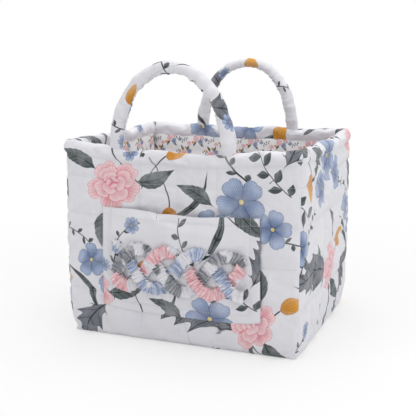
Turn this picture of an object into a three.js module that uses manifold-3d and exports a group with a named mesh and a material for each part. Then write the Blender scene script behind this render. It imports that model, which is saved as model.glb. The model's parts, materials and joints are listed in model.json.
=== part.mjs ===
// A quilted fabric storage basket with a rolled rim, two stuffed carrying handles and a patch pocket.
// Millimetres, +Z up. The origin is the centre of the base's underside, and the front faces -Y.
import * as THREE from "three";
import { mergeVertices } from "three/addons/utils/BufferGeometryUtils.js";
import Module from "manifold-3d";

// Body
const BODY_WIDTH = 250; // outside the two end walls
const BODY_DEPTH = 210; // outside the front and back walls
const BODY_HEIGHT = 205; // floor to the rim's top at the corners
const FRONT_SAG = 8; // how far the front rim dips between its corners
const BOTTOM_ROUND = 8; // radius at which the walls turn under to the base

// Layers of the quilted walls and base
const OUTER_FABRIC = 0.8;
const LINING_FABRIC = 0.6;
const WALL_WADDING = 6;
const BASE_WADDING = 4;
const BASE_BOARD = 2;
const SEAM_GAP = 0.3; // between pieces that lie on each other

// Rolled rim
const RIM_BAND = 14; // rim's top down to the stitch line under the roll
const RIM_SWELL = 1.6; // how far the roll stands proud of each face of the wall

// Handles. An offset is to the right, seen from outside that wall.
const FRONT_HANDLE_OFFSET = -10;
const FRONT_HANDLE_SPREAD = 122; // between the middles of the two feet
const BACK_HANDLE_OFFSET = -3;
const BACK_HANDLE_SPREAD = 116;
const HANDLE_RISE = 80; // the corners' rim to the top of both arches
const HANDLE_DIAMETER = 14;
const HANDLE_LEAN = 0.85; // 1 is upright feet, less leans them in to the arch
const HANDLE_SWING_CLEARANCE = 0.6; // between the rim and a handle that lies over it
const TAIL_WIDTH = 12;
const TAIL_THICKNESS = 4;
const TAIL_DEPTH = 10; // how far a tail goes down into the rim

// Patch pocket on the front wall
const POCKET_WIDTH = 166;
const POCKET_HEIGHT = 107;
const POCKET_BOTTOM = 29; // above the floor
const POCKET_BORDER = 9; // sewn flat, outside the topstitching
const POCKET_GAPE = 7; // how far the mouth stands off the wall

// Plait of three ruched strips on the pocket
const RUCHE_WIDTH = 10;
const RUCHE_THICKNESS = 3;
const PLAIT_LENGTH = 138;
const PLAIT_WAVE = 92; // from one crest of a strip to its next
const PLAIT_SWING = 20; // from the plait's middle line to a strip's crest
const PLAIT_HEIGHT = 80; // of the plait's middle line above the floor
const PLAIT_CLEARANCE = 1; // between the strips where they cross

// Fineness of the curves
const RIM_STEPS = 10;
const SAG_STEPS = 12;
const POCKET_COLUMNS = 14;
const POCKET_ROWS = 6;
const BOTTOM_STEPS = 4;
const HANDLE_STEPS = 24;
const HANDLE_SIDES = 12;
const END_STEPS = 5; // from a handle end's lowest point to its rim
const TAIL_STEPS = 6; // round each edge of a tail
const PLAIT_STEPS = 30;
const RUCHE_STEPS = 6; // over a strip's crown

// What follows from those sizes
const WADDING_DEPTH = OUTER_FABRIC + SEAM_GAP; // from a wall's face in to its wadding
const WALL = WADDING_DEPTH + WALL_WADDING + SEAM_GAP + LINING_FABRIC;
const ROLL_HALF_WIDTH = WALL / 2 + RIM_SWELL;
const ROLL_RISE = RIM_BAND / (1 + Math.sqrt(1 - (WALL / 2 / ROLL_HALF_WIDTH) ** 2));
const ROLL_CUT = Math.asin((RIM_BAND - ROLL_RISE) / ROLL_RISE);
const HANDLE_RADIUS = HANDLE_DIAMETER / 2;
const POCKET_BACK = SEAM_GAP; // from the wall out to the pocket's backing
const POCKET_FACE = POCKET_BACK + LINING_FABRIC + SEAM_GAP;
const POCKET_FRONT = POCKET_FACE + OUTER_FABRIC;

const WALLS = [
  {
    name: "front",
    length: BODY_WIDTH,
    reach: BODY_DEPTH / 2,
    turn: 0,
    sag: FRONT_SAG,
    handle: { offset: FRONT_HANDLE_OFFSET, spread: FRONT_HANDLE_SPREAD },
  },
  { name: "right", length: BODY_DEPTH, reach: BODY_WIDTH / 2, turn: Math.PI / 2, sag: 0 },
  {
    name: "back",
    length: BODY_WIDTH,
    reach: BODY_DEPTH / 2,
    turn: Math.PI,
    sag: 0,
    handle: { offset: BACK_HANDLE_OFFSET, spread: BACK_HANDLE_SPREAD },
  },
  { name: "left", length: BODY_DEPTH, reach: BODY_WIDTH / 2, turn: -Math.PI / 2, sag: 0 },
];

const fabric = (color, roughness) => new THREE.MeshStandardMaterial({ color, roughness, metalness: 0 });
const PRINTED_COTTON = fabric(0xe9e8ec, 0.9);
const LINING_COTTON = fabric(0xf1ecea, 0.9);
const WADDING = fabric(0xf7f7f4, 1);
const CORD = fabric(0xefece2, 1);
const RUCHED_STRIPS = [
  ["blue_ruched_strip", fabric(0x8b9cc0, 0.9)],
  ["pink_ruched_strip", fabric(0xdfa3a9, 0.9)],
  ["grey_ruched_strip", fabric(0x8d9296, 0.9)],
];
const BOARD = fabric(0xdcdcd8, 0.6);

const wasm = await Module();
wasm.setup();

function namedMesh(name, geometry, material) {
  const mesh = new THREE.Mesh(geometry, material);
  mesh.name = name;
  return mesh;
}

// A closed mesh as a solid that can be joined and cut.
function solidFrom(geometry) {
  const bare = new THREE.BufferGeometry().setAttribute("position", geometry.getAttribute("position"));
  const merged = mergeVertices(geometry.index ? bare.setIndex(geometry.index) : bare, 1e-4);
  const triVerts = new Uint32Array(merged.index.array);
  const vertProperties = merged.getAttribute("position").array;
  return new wasm.Manifold(new wasm.Mesh({ numProp: 3, vertProperties, triVerts }));
}

function cutAway(geometry, tools) {
  const left = tools.reduce((solid, tool) => solid.subtract(solidFrom(tool)), solidFrom(geometry));
  const mesh = left.getMesh();
  return new THREE.BufferGeometry()
    .setAttribute("position", new THREE.BufferAttribute(mesh.vertProperties, 3))
    .setIndex(new THREE.BufferAttribute(mesh.triVerts, 1));
}

// A closed solid through a row of flat outlines, all anticlockwise and with as many points.
// place(point, row) sets an outline's point in space.
function loft(outlines, place) {
  const count = outlines[0].length;
  const placed = outlines.flatMap((outline, row) => outline.map((point) => place(point, row)));
  const index = [];
  for (let row = 0; row + 1 < outlines.length; row++)
    for (let j = 0; j < count; j++) {
      const a = row * count + j;
      const b = row * count + ((j + 1) % count);
      index.push(a, b, b + count, a, b + count, a + count);
    }
  const end = (outlines.length - 1) * count;
  for (const [a, b, c] of THREE.ShapeUtils.triangulateShape(outlines[0], [])) index.push(a, c, b);
  for (const [a, b, c] of THREE.ShapeUtils.triangulateShape(outlines.at(-1), []))
    index.push(end + a, end + b, end + c);
  return new THREE.BufferGeometry()
    .setFromPoints(placed)
    .setIndex(index);
}

const evenly = (from, to, steps) =>
  Array.from({ length: steps + 1 }, (_, i) => from + ((to - from) * i) / steps);

// The rim's top at a share of the wall's half length, from -1 to 1.
const rimTop = (wall, share) => BODY_HEIGHT - wall.sag * (1 - share ** 2);

// The rolled rim's section over (depth into the wall, height): an upright ellipse taken in by an inset and
// cut off at the stitch line, from the inside of the basket over the top to the outside.
function rollArc(top, inset) {
  return evenly(-ROLL_CUT, Math.PI + ROLL_CUT, RIM_STEPS).map((angle) => {
    const depth = WALL / 2 + (ROLL_HALF_WIDTH - inset) * Math.cos(angle);
    return new THREE.Vector2(depth, top - ROLL_RISE + (ROLL_RISE - inset) * Math.sin(angle));
  });
}

// The section of a layer's turn under to the base, taken in by an inset, from the wall in to a depth.
function turnUnder(inset, depth) {
  const radius = BOTTOM_ROUND - inset;
  const short = Math.max(0, BOTTOM_ROUND - depth); // left out of the quarter circle
  const points = evenly(Math.PI, 1.5 * Math.PI - Math.asin(short / radius), BOTTOM_STEPS).map((angle) => {
    const across = BOTTOM_ROUND + radius * Math.cos(angle);
    return new THREE.Vector2(across, BOTTOM_ROUND + radius * Math.sin(angle));
  });
  if (depth > BOTTOM_ROUND) points.push(new THREE.Vector2(depth, inset));
  return points;
}

// Sections of each layer of a wall, for a rim whose top is at the given height.
const LAYERS = {
  outer_panel: {
    material: PRINTED_COTTON,
    outline: (top) => [
      ...turnUnder(0, BOTTOM_ROUND),
      ...turnUnder(OUTER_FABRIC, BOTTOM_ROUND).reverse(),
      ...rollArc(top, OUTER_FABRIC).reverse(),
      ...rollArc(top, 0),
    ],
  },
  rim_roll: {
    material: WADDING,
    outline: (top) => rollArc(top, WADDING_DEPTH),
  },
  wadding: {
    material: WADDING,
    outline: (top) => [
      ...turnUnder(WADDING_DEPTH, WADDING_DEPTH + WALL_WADDING),
      new THREE.Vector2(WADDING_DEPTH + WALL_WADDING, top - RIM_BAND),
      new THREE.Vector2(WADDING_DEPTH, top - RIM_BAND),
    ],
  },
  lining: {
    material: LINING_COTTON,
    outline: (top) => {
      const foot = turnUnder(WADDING_DEPTH, WALL - LINING_FABRIC).at(-1);
      const head = top - RIM_BAND - SEAM_GAP;
      return [
        foot,
        new THREE.Vector2(WALL, foot.y),
        new THREE.Vector2(WALL, head),
        new THREE.Vector2(foot.x, head),
      ];
    },
  },
};
const LAYERS_ROUND_A_TAIL = ["outer_panel", "rim_roll", "wadding"];

// A layer runs along its wall and is mitred into its neighbours at both ends.
function wallLayer(wall, outline) {
  const shares = evenly(-1, 1, wall.sag ? SAG_STEPS : 1);
  return loft(
    shares.map((share) => outline(rimTop(wall, share))),
    (point, row) =>
      new THREE.Vector3(shares[row] * (wall.length / 2 - point.x - SEAM_GAP), point.x, point.y),
  );
}

// A handle's feet across its wall, and the height of the line on which both feet turn.
function handleSeat(wall) {
  const { offset, spread } = wall.handle;
  const feet = [offset - spread / 2, offset + spread / 2];
  const outermost = Math.max(...feet.map(Math.abs)) + HANDLE_RADIUS;
  const rim = rimTop(wall, outermost / (wall.length / 2));
  return { feet, axis: rim + HANDLE_SWING_CLEARANCE + HANDLE_RADIUS };
}

// A flattened handle tail, or the slit for it when it is grown by a clearance.
function tailGeometry(foot, bottom, top, clearance) {
  const radius = TAIL_THICKNESS / 2 + clearance;
  const straight = (TAIL_WIDTH - TAIL_THICKNESS) / 2;
  const outline = new THREE.Shape()
    .absarc(straight, 0, radius, -Math.PI / 2, Math.PI / 2)
    .absarc(-straight, 0, radius, Math.PI / 2, (3 * Math.PI) / 2);
  const options = { depth: top - bottom, bevelEnabled: false, curveSegments: TAIL_STEPS };
  return new THREE.ExtrudeGeometry(outline, options).translate(foot, WALL / 2, bottom);
}

const tailBottom = (wall, foot) => rimTop(wall, foot / (wall.length / 2)) - TAIL_DEPTH;

// Slits through a wall's rim for the tails of its handle.
function tailSlits(wall) {
  const { feet, axis } = handleSeat(wall);
  return feet.map((foot) => tailGeometry(foot, tailBottom(wall, foot) - SEAM_GAP, axis, SEAM_GAP));
}

function wallGroup(wall) {
  const group = new THREE.Group();
  group.rotation.z = wall.turn;
  group.position.set(wall.reach * Math.sin(wall.turn), -wall.reach * Math.cos(wall.turn), 0);
  for (const [layer, { material, outline }] of Object.entries(LAYERS)) {
    const whole = wallLayer(wall, outline);
    const slit = wall.handle && LAYERS_ROUND_A_TAIL.includes(layer);
    const geometry = slit ? cutAway(whole, tailSlits(wall)) : whole;
    group.add(namedMesh(`${wall.name}_${layer}`, geometry, material));
  }
  return group;
}

// An arch of stuffed tube that turns on the line through its two round ends, and the tails sewn into the rim.
function addHandle(group, wall) {
  const { feet, axis } = handleSeat(wall);
  const { offset, spread } = wall.handle;
  const rise = BODY_HEIGHT + HANDLE_RISE - HANDLE_RADIUS - axis;
  const pull = (rise * 4) / 3; // a Bezier arch reaches three quarters of the way to its control points
  const arch = new THREE.CubicBezierCurve3(
    new THREE.Vector3(-spread / 2, 0, 0),
    new THREE.Vector3((-spread / 2) * HANDLE_LEAN, 0, pull),
    new THREE.Vector3((spread / 2) * HANDLE_LEAN, 0, pull),
    new THREE.Vector3(spread / 2, 0, 0),
  );
  const lean = Math.atan2((spread / 2) * (1 - HANDLE_LEAN), pull);
  const sweep = (shape) =>
    new THREE.ExtrudeGeometry(shape, {
      steps: HANDLE_STEPS,
      extrudePath: arch,
      curveSegments: HANDLE_SIDES / 2, // for each half of a full circle
    });

  const handle = new THREE.Group();
  handle.position.set(offset, WALL / 2, axis);
  const tube = new THREE.Shape().absarc(0, 0, HANDLE_RADIUS, 0, 2 * Math.PI);
  tube.holes.push(new THREE.Path().absarc(0, 0, HANDLE_RADIUS - OUTER_FABRIC, 0, 2 * Math.PI));
  handle.add(namedMesh(`${wall.name}_handle_cover`, sweep(tube), PRINTED_COTTON));
  const filling = new THREE.Shape().absarc(0, 0, HANDLE_RADIUS - OUTER_FABRIC - SEAM_GAP, 0, 2 * Math.PI);
  handle.add(namedMesh(`${wall.name}_handle_core`, sweep(filling), CORD));
  group.add(handle);

  for (const foot of feet) {
    const side = foot * Math.cos(wall.turn) < 0 ? "left" : "right";
    const end = namedMesh(`${wall.name}_handle_${side}_end`, roundEnd(), PRINTED_COTTON);
    end.position.x = foot - offset;
    end.rotation.y = foot < offset ? lean : -lean;
    handle.add(end);
    const tail = tailGeometry(foot, tailBottom(wall, foot), axis - HANDLE_RADIUS - SEAM_GAP, 0);
    group.add(namedMesh(`${wall.name}_handle_${side}_tail`, tail, PRINTED_COTTON));
  }
}

// The gathered end of a handle: the lower half of a ball, just clear of the tube above it.
function roundEnd() {
  const from = Math.asin(SEAM_GAP / HANDLE_RADIUS);
  const bowl = evenly(-Math.PI / 2, -from, END_STEPS).map(
    (angle) => new THREE.Vector2(HANDLE_RADIUS * Math.cos(angle), HANDLE_RADIUS * Math.sin(angle)),
  );
  bowl[0].x = 0;
  bowl.push(new THREE.Vector2(0, bowl.at(-1).y));
  return new THREE.LatheGeometry(bowl, HANDLE_SIDES).rotateX(Math.PI / 2);
}

// How far the pocket stands off the wall: nothing in its sewn border, and most at the mouth's middle.
function pocketLift(x, z) {
  const across = Math.min(1, Math.abs(x) / (POCKET_WIDTH / 2 - POCKET_BORDER));
  const up = Math.max(0, (z - POCKET_BOTTOM - POCKET_BORDER) / (POCKET_HEIGHT - POCKET_BORDER));
  return POCKET_GAPE * (1 - across ** 2) * Math.sin((up * Math.PI) / 2);
}

// One layer of the pocket, from a distance off the wall where the pocket is flat.
function pocketLayer(standoff, thickness) {
  const columns = evenly(-POCKET_WIDTH / 2, POCKET_WIDTH / 2, POCKET_COLUMNS);
  const rows = evenly(POCKET_BOTTOM, POCKET_BOTTOM + POCKET_HEIGHT, POCKET_ROWS);
  const face = (x, distance) => rows.map((z) => new THREE.Vector2(-distance - pocketLift(x, z), z));
  return loft(
    columns.map((x) => [...face(x, standoff), ...face(x, standoff + thickness).reverse()]),
    (point, column) => new THREE.Vector3(columns[column], point.x, point.y),
  );
}

// One of the plait's gathered strips: it swings across the plait once in each wave, and rises and falls
// twice, so that it passes over one neighbour and under the other.
function ruchedStrip(phase) {
  const stations = evenly(-PLAIT_LENGTH / 2, PLAIT_LENGTH / 2, PLAIT_STEPS);
  const crown = evenly(0, Math.PI, RUCHE_STEPS).map(
    (angle) => new THREE.Vector2((RUCHE_WIDTH / 2) * Math.cos(angle), RUCHE_THICKNESS * Math.sin(angle)),
  );
  const turnsPerLength = (2 * Math.PI) / PLAIT_WAVE;
  const lift = (RUCHE_THICKNESS + PLAIT_CLEARANCE) / (2 * Math.sin(Math.PI / 3));
  return loft(
    stations.map(() => crown),
    (point, row) => {
      const turn = turnsPerLength * stations[row] + phase;
      const along = new THREE.Vector2(1, PLAIT_SWING * turnsPerLength * Math.cos(turn)).normalize();
      const x = stations[row] - along.y * point.x;
      const z = PLAIT_HEIGHT + PLAIT_SWING * Math.sin(turn) + along.x * point.x;
      const over = lift * (1 + Math.sin(2 * turn));
      const standoff = POCKET_FRONT + pocketLift(x, z) + SEAM_GAP + over + point.y;
      return new THREE.Vector3(x, -standoff, z);
    },
  );
}

function addPocket(group) {
  group.add(namedMesh("pocket_backing", pocketLayer(POCKET_BACK, LINING_FABRIC), LINING_COTTON));
  group.add(namedMesh("pocket_face", pocketLayer(POCKET_FACE, OUTER_FABRIC), PRINTED_COTTON));
  RUCHED_STRIPS.forEach(([name, material], i) => {
    const phase = (2 * Math.PI * i) / RUCHED_STRIPS.length;
    group.add(namedMesh(name, ruchedStrip(phase), material));
  });
}

// The base, from the floor up: the outer panel inside the walls' turned edges, the rest inside the linings.
function baseGroup() {
  const group = new THREE.Group();
  const inside = Math.max(WALL, BOTTOM_ROUND) + SEAM_GAP;
  const stack = [
    ["base_outer_panel", OUTER_FABRIC, BOTTOM_ROUND + SEAM_GAP, PRINTED_COTTON],
    ["base_wadding", BASE_WADDING, inside, WADDING],
    ["base_board", BASE_BOARD, inside, BOARD],
    ["base_lining", LINING_FABRIC, inside, LINING_COTTON],
  ];
  let bottom = 0;
  for (const [name, thickness, margin, material] of stack) {
    const sheet = new THREE.BoxGeometry(BODY_WIDTH - 2 * margin, BODY_DEPTH - 2 * margin, thickness);
    const mesh = namedMesh(name, sheet, material);
    mesh.position.z = bottom + thickness / 2;
    group.add(mesh);
    bottom += thickness + SEAM_GAP;
  }
  return group;
}

const basket = new THREE.Group();
basket.name = "fabric_storage_basket";
for (const wall of WALLS) {
  const group = wallGroup(wall);
  if (wall.handle) addHandle(group, wall);
  if (wall.name === "front") addPocket(group);
  basket.add(group);
}
basket.add(baseGroup());

export default basket;
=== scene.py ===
"""A quilted cotton storage basket with two stuffed handles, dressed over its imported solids."""

import json
import math
from collections import namedtuple

import bpy
import numpy as np
from bpy.props import FloatProperty, FloatVectorProperty, IntProperty, PointerProperty
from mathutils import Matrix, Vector
from mathutils.bvhtree import BVHTree


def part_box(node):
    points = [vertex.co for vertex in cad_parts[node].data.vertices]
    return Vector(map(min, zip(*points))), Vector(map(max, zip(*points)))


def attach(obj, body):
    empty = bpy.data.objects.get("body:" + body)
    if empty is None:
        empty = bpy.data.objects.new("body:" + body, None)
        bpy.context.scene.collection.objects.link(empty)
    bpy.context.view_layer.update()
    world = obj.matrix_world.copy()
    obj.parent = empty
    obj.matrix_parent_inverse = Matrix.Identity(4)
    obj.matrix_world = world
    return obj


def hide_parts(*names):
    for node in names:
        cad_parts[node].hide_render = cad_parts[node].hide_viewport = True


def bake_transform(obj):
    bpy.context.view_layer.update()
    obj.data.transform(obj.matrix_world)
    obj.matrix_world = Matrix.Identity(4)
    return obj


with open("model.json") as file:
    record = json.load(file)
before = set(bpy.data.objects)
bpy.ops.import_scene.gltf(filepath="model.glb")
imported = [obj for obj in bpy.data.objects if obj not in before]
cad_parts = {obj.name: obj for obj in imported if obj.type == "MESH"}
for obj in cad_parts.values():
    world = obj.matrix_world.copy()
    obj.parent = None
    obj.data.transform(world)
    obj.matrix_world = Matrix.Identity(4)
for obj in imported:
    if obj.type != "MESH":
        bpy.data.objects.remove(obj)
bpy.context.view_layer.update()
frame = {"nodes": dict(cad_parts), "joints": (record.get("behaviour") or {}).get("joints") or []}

bl_info = {
    "name": "Quilted Storage Basket",
    "version": (1, 0, 0),
    "blender": (4, 5, 0),
    "location": "View3D > Sidebar > Basket",
    "description": "Builds a quilted, lined cotton basket with a ruched pocket and two stuffed handles",
    "category": "Object",
}

MM = 0.001
JOINTS = {joint["name"]: joint for joint in frame["joints"]}

# The walls, each seen from outside: how far it turns from the front, its squares of quilting, and
# where its print starts on the cloth
Wall = namedtuple("Wall", "name turn squares print_at")
WALLS = (
    Wall("front", 0, 6, (0.127, 0.155)),
    Wall("right", 90, 5, (0.452, 0.118)),
    Wall("back", 180, 6, (0.668, 0.071)),
    Wall("left", 270, 5, (0.921, 0.187)),
)

# The handles: where the print starts, how far the sewn tube is narrower, aside and thinner than its
# solid, and the seed of its unevenness
Handle = namedtuple("Handle", "name print_at narrower aside thinner seed")
HANDLES = (
    Handle("front", (0.065, 0.072), 2.3 * MM, 2.2 * MM, 0.96, 100),
    Handle("back", (0.185, 0.085), 3.0 * MM, -0.6 * MM, 0.88, 110),
)


def length(name, description, default):
    """A length in metres that a user can change in the sidebar."""
    return FloatProperty(name=name, description=description, default=default, unit="LENGTH", precision=4)


def colour(name, description, default):
    """A cloth or thread colour that a user can change in the sidebar."""
    return FloatVectorProperty(
        name=name, description=description, default=default, size=3, min=0, max=1, subtype="COLOR"
    )


class BasketSizes(bpy.types.PropertyGroup):
    """Sizes of the basket's body, pocket and handles"""

    width: length("Width", "Outside width, left to right", 250 * MM)
    depth: length("Depth", "Outside depth, front to back", 210 * MM)
    height: length("Height", "Height of the rim at the corners", 205 * MM)
    front_sag: length("Front sag", "How far the front rim sags between its corners", 8 * MM)
    wall: length("Wall", "Thickness of a padded wall with its lining", 8 * MM)
    bottom_round: length("Bottom round", "Radius of the bottom edges", 8 * MM)
    corner_round: length("Corner round", "Radius of the upright corners", 3.5 * MM)
    rim_band: length("Rim band", "Height of the rolled rim above its stitching", 14 * MM)
    rim_half: length("Rim roll", "Half the thickness of the rolled rim", 5.6 * MM)
    pocket_width: length("Pocket width", "Width of the patch pocket", 166 * MM)
    pocket_height: length("Pocket height", "Height of the patch pocket", 107 * MM)
    pocket_bottom: length("Pocket bottom", "Height of the pocket's lower edge above the floor", 29 * MM)
    pocket_border: length("Pocket border", "Topstitching's distance from the pocket's edge", 9 * MM)
    pocket_gape: length("Pocket gape", "How far the pocket's mouth stands open", 7 * MM)
    handle_leg: length("Handle leg", "Radius of a handle near its feet", 8.2 * MM)
    handle_crown: length("Handle crown", "Radius of a handle at its top", 6.3 * MM)


class BasketSewing(bpy.types.PropertyGroup):
    """Quilting, gathering and thread"""

    valley: length("Valley", "How deep a row of quilting pulls the cloth in", 1.7 * MM)
    swell: length("Swell", "How far a wall bellies out between its edges", 3.0 * MM)
    slack: FloatProperty(name="Slack", description="Share of spare cloth between rows of quilting",
                         default=0.016, min=0, max=0.1)
    pressure: FloatProperty(name="Filling", description="Push of the wadding on the cloth",
                            default=3.0, min=0)
    settle_frames: IntProperty(name="Settling", description="Frames that the cloth settles for",
                               default=20, min=2, max=60)
    stitch: length("Stitch", "Distance from one stitch to the next", 2.8 * MM)
    thread: length("Thread", "Thickness of the sewing thread", 0.32 * MM)
    repeat: length("Print repeat", "Distance after which the printed flowers repeat", 0.25)
    lining_repeat: length("Lining repeat", "Distance after which the lining's sprigs repeat", 0.035)


class BasketColours(bpy.types.PropertyGroup):
    """Colours of the cloth, print and thread"""

    cotton: colour("Cotton", "Ground of the printed cotton", (0.778, 0.774, 0.815))
    lining: colour("Lining", "Ground of the lining", (0.90, 0.895, 0.905))
    thread: colour("Thread", "Sewing thread", (0.66, 0.66, 0.67))
    ink: colour("Ink", "Outlines and stems", (0.022, 0.027, 0.031))
    slate: colour("Slate", "Wash of the large leaves", (0.205, 0.216, 0.250))
    foliage: colour("Foliage", "Wash of the small leaves", (0.140, 0.166, 0.166))
    olive: colour("Olive", "Pale part of the lining's leaves", (0.130, 0.135, 0.075))
    olive_deep: colour("Deep olive", "Dark part of the lining's leaves", (0.045, 0.048, 0.030))
    blue: colour("Blue", "Pale part of the blue flowers", (0.420, 0.500, 0.680))
    blue_deep: colour("Deep blue", "Dark part of the blue flowers", (0.062, 0.105, 0.235))
    blush: colour("Blush", "Pale part of the pink flowers", (0.900, 0.710, 0.710))
    rose: colour("Rose", "Dark part of the pink flowers", (0.680, 0.150, 0.225))
    ochre: colour("Ochre", "Pale part of the buds", (0.780, 0.400, 0.070))
    ochre_deep: colour("Deep ochre", "Dark part of the buds", (0.520, 0.190, 0.022))
    straw: colour("Straw", "Eyes of the flowers", (0.760, 0.600, 0.200))
    blue_scrap: colour("Blue scraps", "Pale part of the blue ruching", (0.570, 0.625, 0.760))
    pink_scrap: colour("Pink scraps", "Pale part of the pink ruching", (0.880, 0.650, 0.665))
    grey_scrap: colour("Grey scraps", "Pale part of the grey ruching", (0.400, 0.410, 0.450))
    blue_line: colour("Blue lines", "Dark part of the blue ruching", (0.180, 0.245, 0.420))
    pink_line: colour("Pink lines", "Dark part of the pink ruching", (0.700, 0.275, 0.335))
    grey_line: colour("Grey lines", "Dark part of the grey ruching", (0.130, 0.135, 0.150))
    board: colour("Board", "Stiffener under the lining", (0.30, 0.27, 0.23))
    floor: colour("Floor", "Studio floor", (0.90, 0.90, 0.90))


# Drawing with nodes

# How nodes are spread out in the editor
NODES_IN_ROW = 10
NODE_STEP = (190, -210)


class Num:
    """A value that a node gives. Arithmetic on it adds the nodes that work out the result."""

    def __init__(self, pen, socket):
        self.pen = pen
        self.socket = socket

    def then(self, operation, *others):
        """One more step of arithmetic."""
        return self.pen.math(operation, self, *others)

    def __add__(self, other):
        return self.then("ADD", other)

    def __sub__(self, other):
        return self.then("SUBTRACT", other)

    def __rsub__(self, other):
        return self.pen.math("SUBTRACT", other, self)

    def __mul__(self, other):
        return self.then("MULTIPLY", other)

    def __truediv__(self, other):
        return self.then("DIVIDE", other)

    def __rtruediv__(self, other):
        return self.pen.math("DIVIDE", other, self)

    def __abs__(self):
        return self.then("ABSOLUTE")

    def times_plus(self, factor, more):
        """This value times a factor, plus some more, in one node."""
        return self.then("MULTIPLY_ADD", factor, more)

    def clamped(self):
        """Kept from 0 to 1, by a node of its own, which keeps the shader's memory small."""
        return Num(self.pen, self.pen.add("ShaderNodeClamp", [self]))

    def edge(self, softness):
        """A mask that is 1 where this value is above 0, with a soft edge."""
        return self.times_plus(1 / softness, 0.5).clamped()

    def line(self, width, softness):
        """A line along the edge of what lies inside, where this value is above 0."""
        return 1 - (self - width).edge(softness)

    def hatching(self, count, share=0.3):
        """Fine lines where this value rises."""
        return ((self * count).then("SINE") - share).edge(1.0)


class Pen:
    """Adds nodes to one tree, with each input linked or set."""

    def __init__(self, tree):
        self.tree = tree

    def feed(self, socket, value):
        """Links an input to a value that a node gives, or sets it."""
        if isinstance(value, Num):
            value = value.socket
        if isinstance(value, bpy.types.NodeSocket):
            self.tree.links.new(value, socket)
        elif socket.type == "RGBA" and len(value) == 3:
            socket.default_value = (*value, 1)
        else:
            socket.default_value = value

    def add(self, kind, inputs=(), out=0, **settings):
        """Adds a node with its settings and inputs, and gives one of its outputs."""
        node = self.tree.nodes.new(kind)
        row, column = divmod(len(self.tree.nodes), NODES_IN_ROW)
        node.location = (NODE_STEP[0] * column, NODE_STEP[1] * row)
        for name, value in settings.items():
            setattr(node, name, value)
        pairs = inputs.items() if isinstance(inputs, dict) else enumerate(inputs)
        for socket, value in pairs:
            self.feed(node.inputs[socket], value)
        return node.outputs[out]

    def math(self, operation, *values):
        return Num(self, self.add("ShaderNodeMath", values, operation=operation))

    def vector(self, operation, *values, out=0):
        return self.add("ShaderNodeVectorMath", values, out, operation=operation)

    def scaled(self, place, factor):
        return self.add("ShaderNodeVectorMath", {0: place, "Scale": factor}, operation="SCALE")

    def across_and_up(self, place):
        parts = self.add("ShaderNodeSeparateXYZ", [place]).node.outputs
        return Num(self, parts[0]), Num(self, parts[1])

    def mix(self, share, first, second, blend="MIX"):
        return self.add("ShaderNodeMix", {0: share, 6: first, 7: second}, 2,
                        data_type="RGBA", blend_type=blend)

    def curve(self, value, points):
        """A drawn profile: pairs of place and height, from 0 to 1."""
        drawn = self.add("ShaderNodeFloatCurve", {1: value})
        mapping = drawn.node.mapping
        line = mapping.curves[0]
        for place, height in points[1:-1]:
            line.points.new(place, height)
        line.points[0].location = points[0]
        line.points[-1].location = points[-1]
        mapping.update()
        return Num(self, drawn)

    def noise(self, place, scale, detail=2.0, rough=0.5, out=0):
        settings = {"Vector": place, "Scale": scale, "Detail": detail, "Roughness": rough}
        return Num(self, self.add("ShaderNodeTexNoise", settings, out))

    def bump(self, height, strength, distance, **normal):
        settings = {"Strength": strength, "Distance": distance, "Height": height, **normal}
        return self.add("ShaderNodeBump", settings)

    def finish(self, shader, kind="ShaderNodeOutputMaterial"):
        """Joins a shader to the tree's output."""
        output = self.tree.nodes.new(kind)
        self.feed(output.inputs["Surface"], shader)


FLOAT = "NodeSocketFloat"
VECTOR = "NodeSocketVector"
COLOUR = "NodeSocketColor"
PLACE = ("Across", "Up", "Repeat", "Middle across", "Middle up", "Angle", "Size")


def sockets(kind, *labels):
    """Sockets of one kind for a node group."""
    return [(label, kind) for label in labels]


def new_group(name, inputs, outputs):
    """An empty node group: its pen, what it is given and where its results go."""
    tree = bpy.data.node_groups.new(name, "ShaderNodeTree")
    for label, kind in inputs:
        tree.interface.new_socket(label, in_out="INPUT", socket_type=kind)
    for label, kind in outputs:
        tree.interface.new_socket(label, in_out="OUTPUT", socket_type=kind)
    pen = Pen(tree)
    given = {socket.name: Num(pen, socket) for socket in tree.nodes.new("NodeGroupInput").outputs}
    results = tree.nodes.new("NodeGroupOutput").inputs
    return pen, given, results


def use_group(pen, name, **inputs):
    """What a node group gives when it is placed in a tree; its inputs are given by name."""
    labels = {label.replace("_", " ").capitalize(): value for label, value in inputs.items()}
    first = pen.add("ShaderNodeGroup", labels, node_tree=bpy.data.node_groups[name])
    return [Num(pen, socket) for socket in first.node.outputs]


def make_place_group():
    """Turns the cloth's own place into a motif's: wrapped to the repeat, turned and scaled.

    It works in single numbers, because vectors between groups take up the shader's small memory."""
    pen, given, results = new_group("Place on cloth", sockets(FLOAT, *PLACE),
                                    sockets(FLOAT, "X", "Y", "Reach"))
    most = given["Repeat"] * 0.5
    least = given["Repeat"] * -0.5
    cosine = given["Angle"].then("COSINE") / given["Size"]
    sine = given["Angle"].then("SINE") / given["Size"]
    across = (given["Across"] - given["Middle across"]).then("WRAP", most, least)
    up = (given["Up"] - given["Middle up"]).then("WRAP", most, least)
    x = across.times_plus(cosine, up * sine)
    y = across.times_plus(sine * -1, up * cosine)
    pen.feed(results["X"], x)
    pen.feed(results["Y"], y)
    pen.feed(results["Reach"], x.times_plus(x, y * y).then("SQRT"))


def motif_group(name, shape=(), tints=()):
    """A group that draws one motif over what is under it: its pen, inputs, results and own place."""
    inputs = sockets(COLOUR, "Under", "Line", "Wash", *tints) + sockets(FLOAT, *PLACE, *shape)
    pen, given, results = new_group(name, inputs, sockets(COLOUR, "Colour"))
    place = use_group(pen, "Place on cloth", **{label: given[label] for label in PLACE})
    return pen, given, results, place


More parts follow.
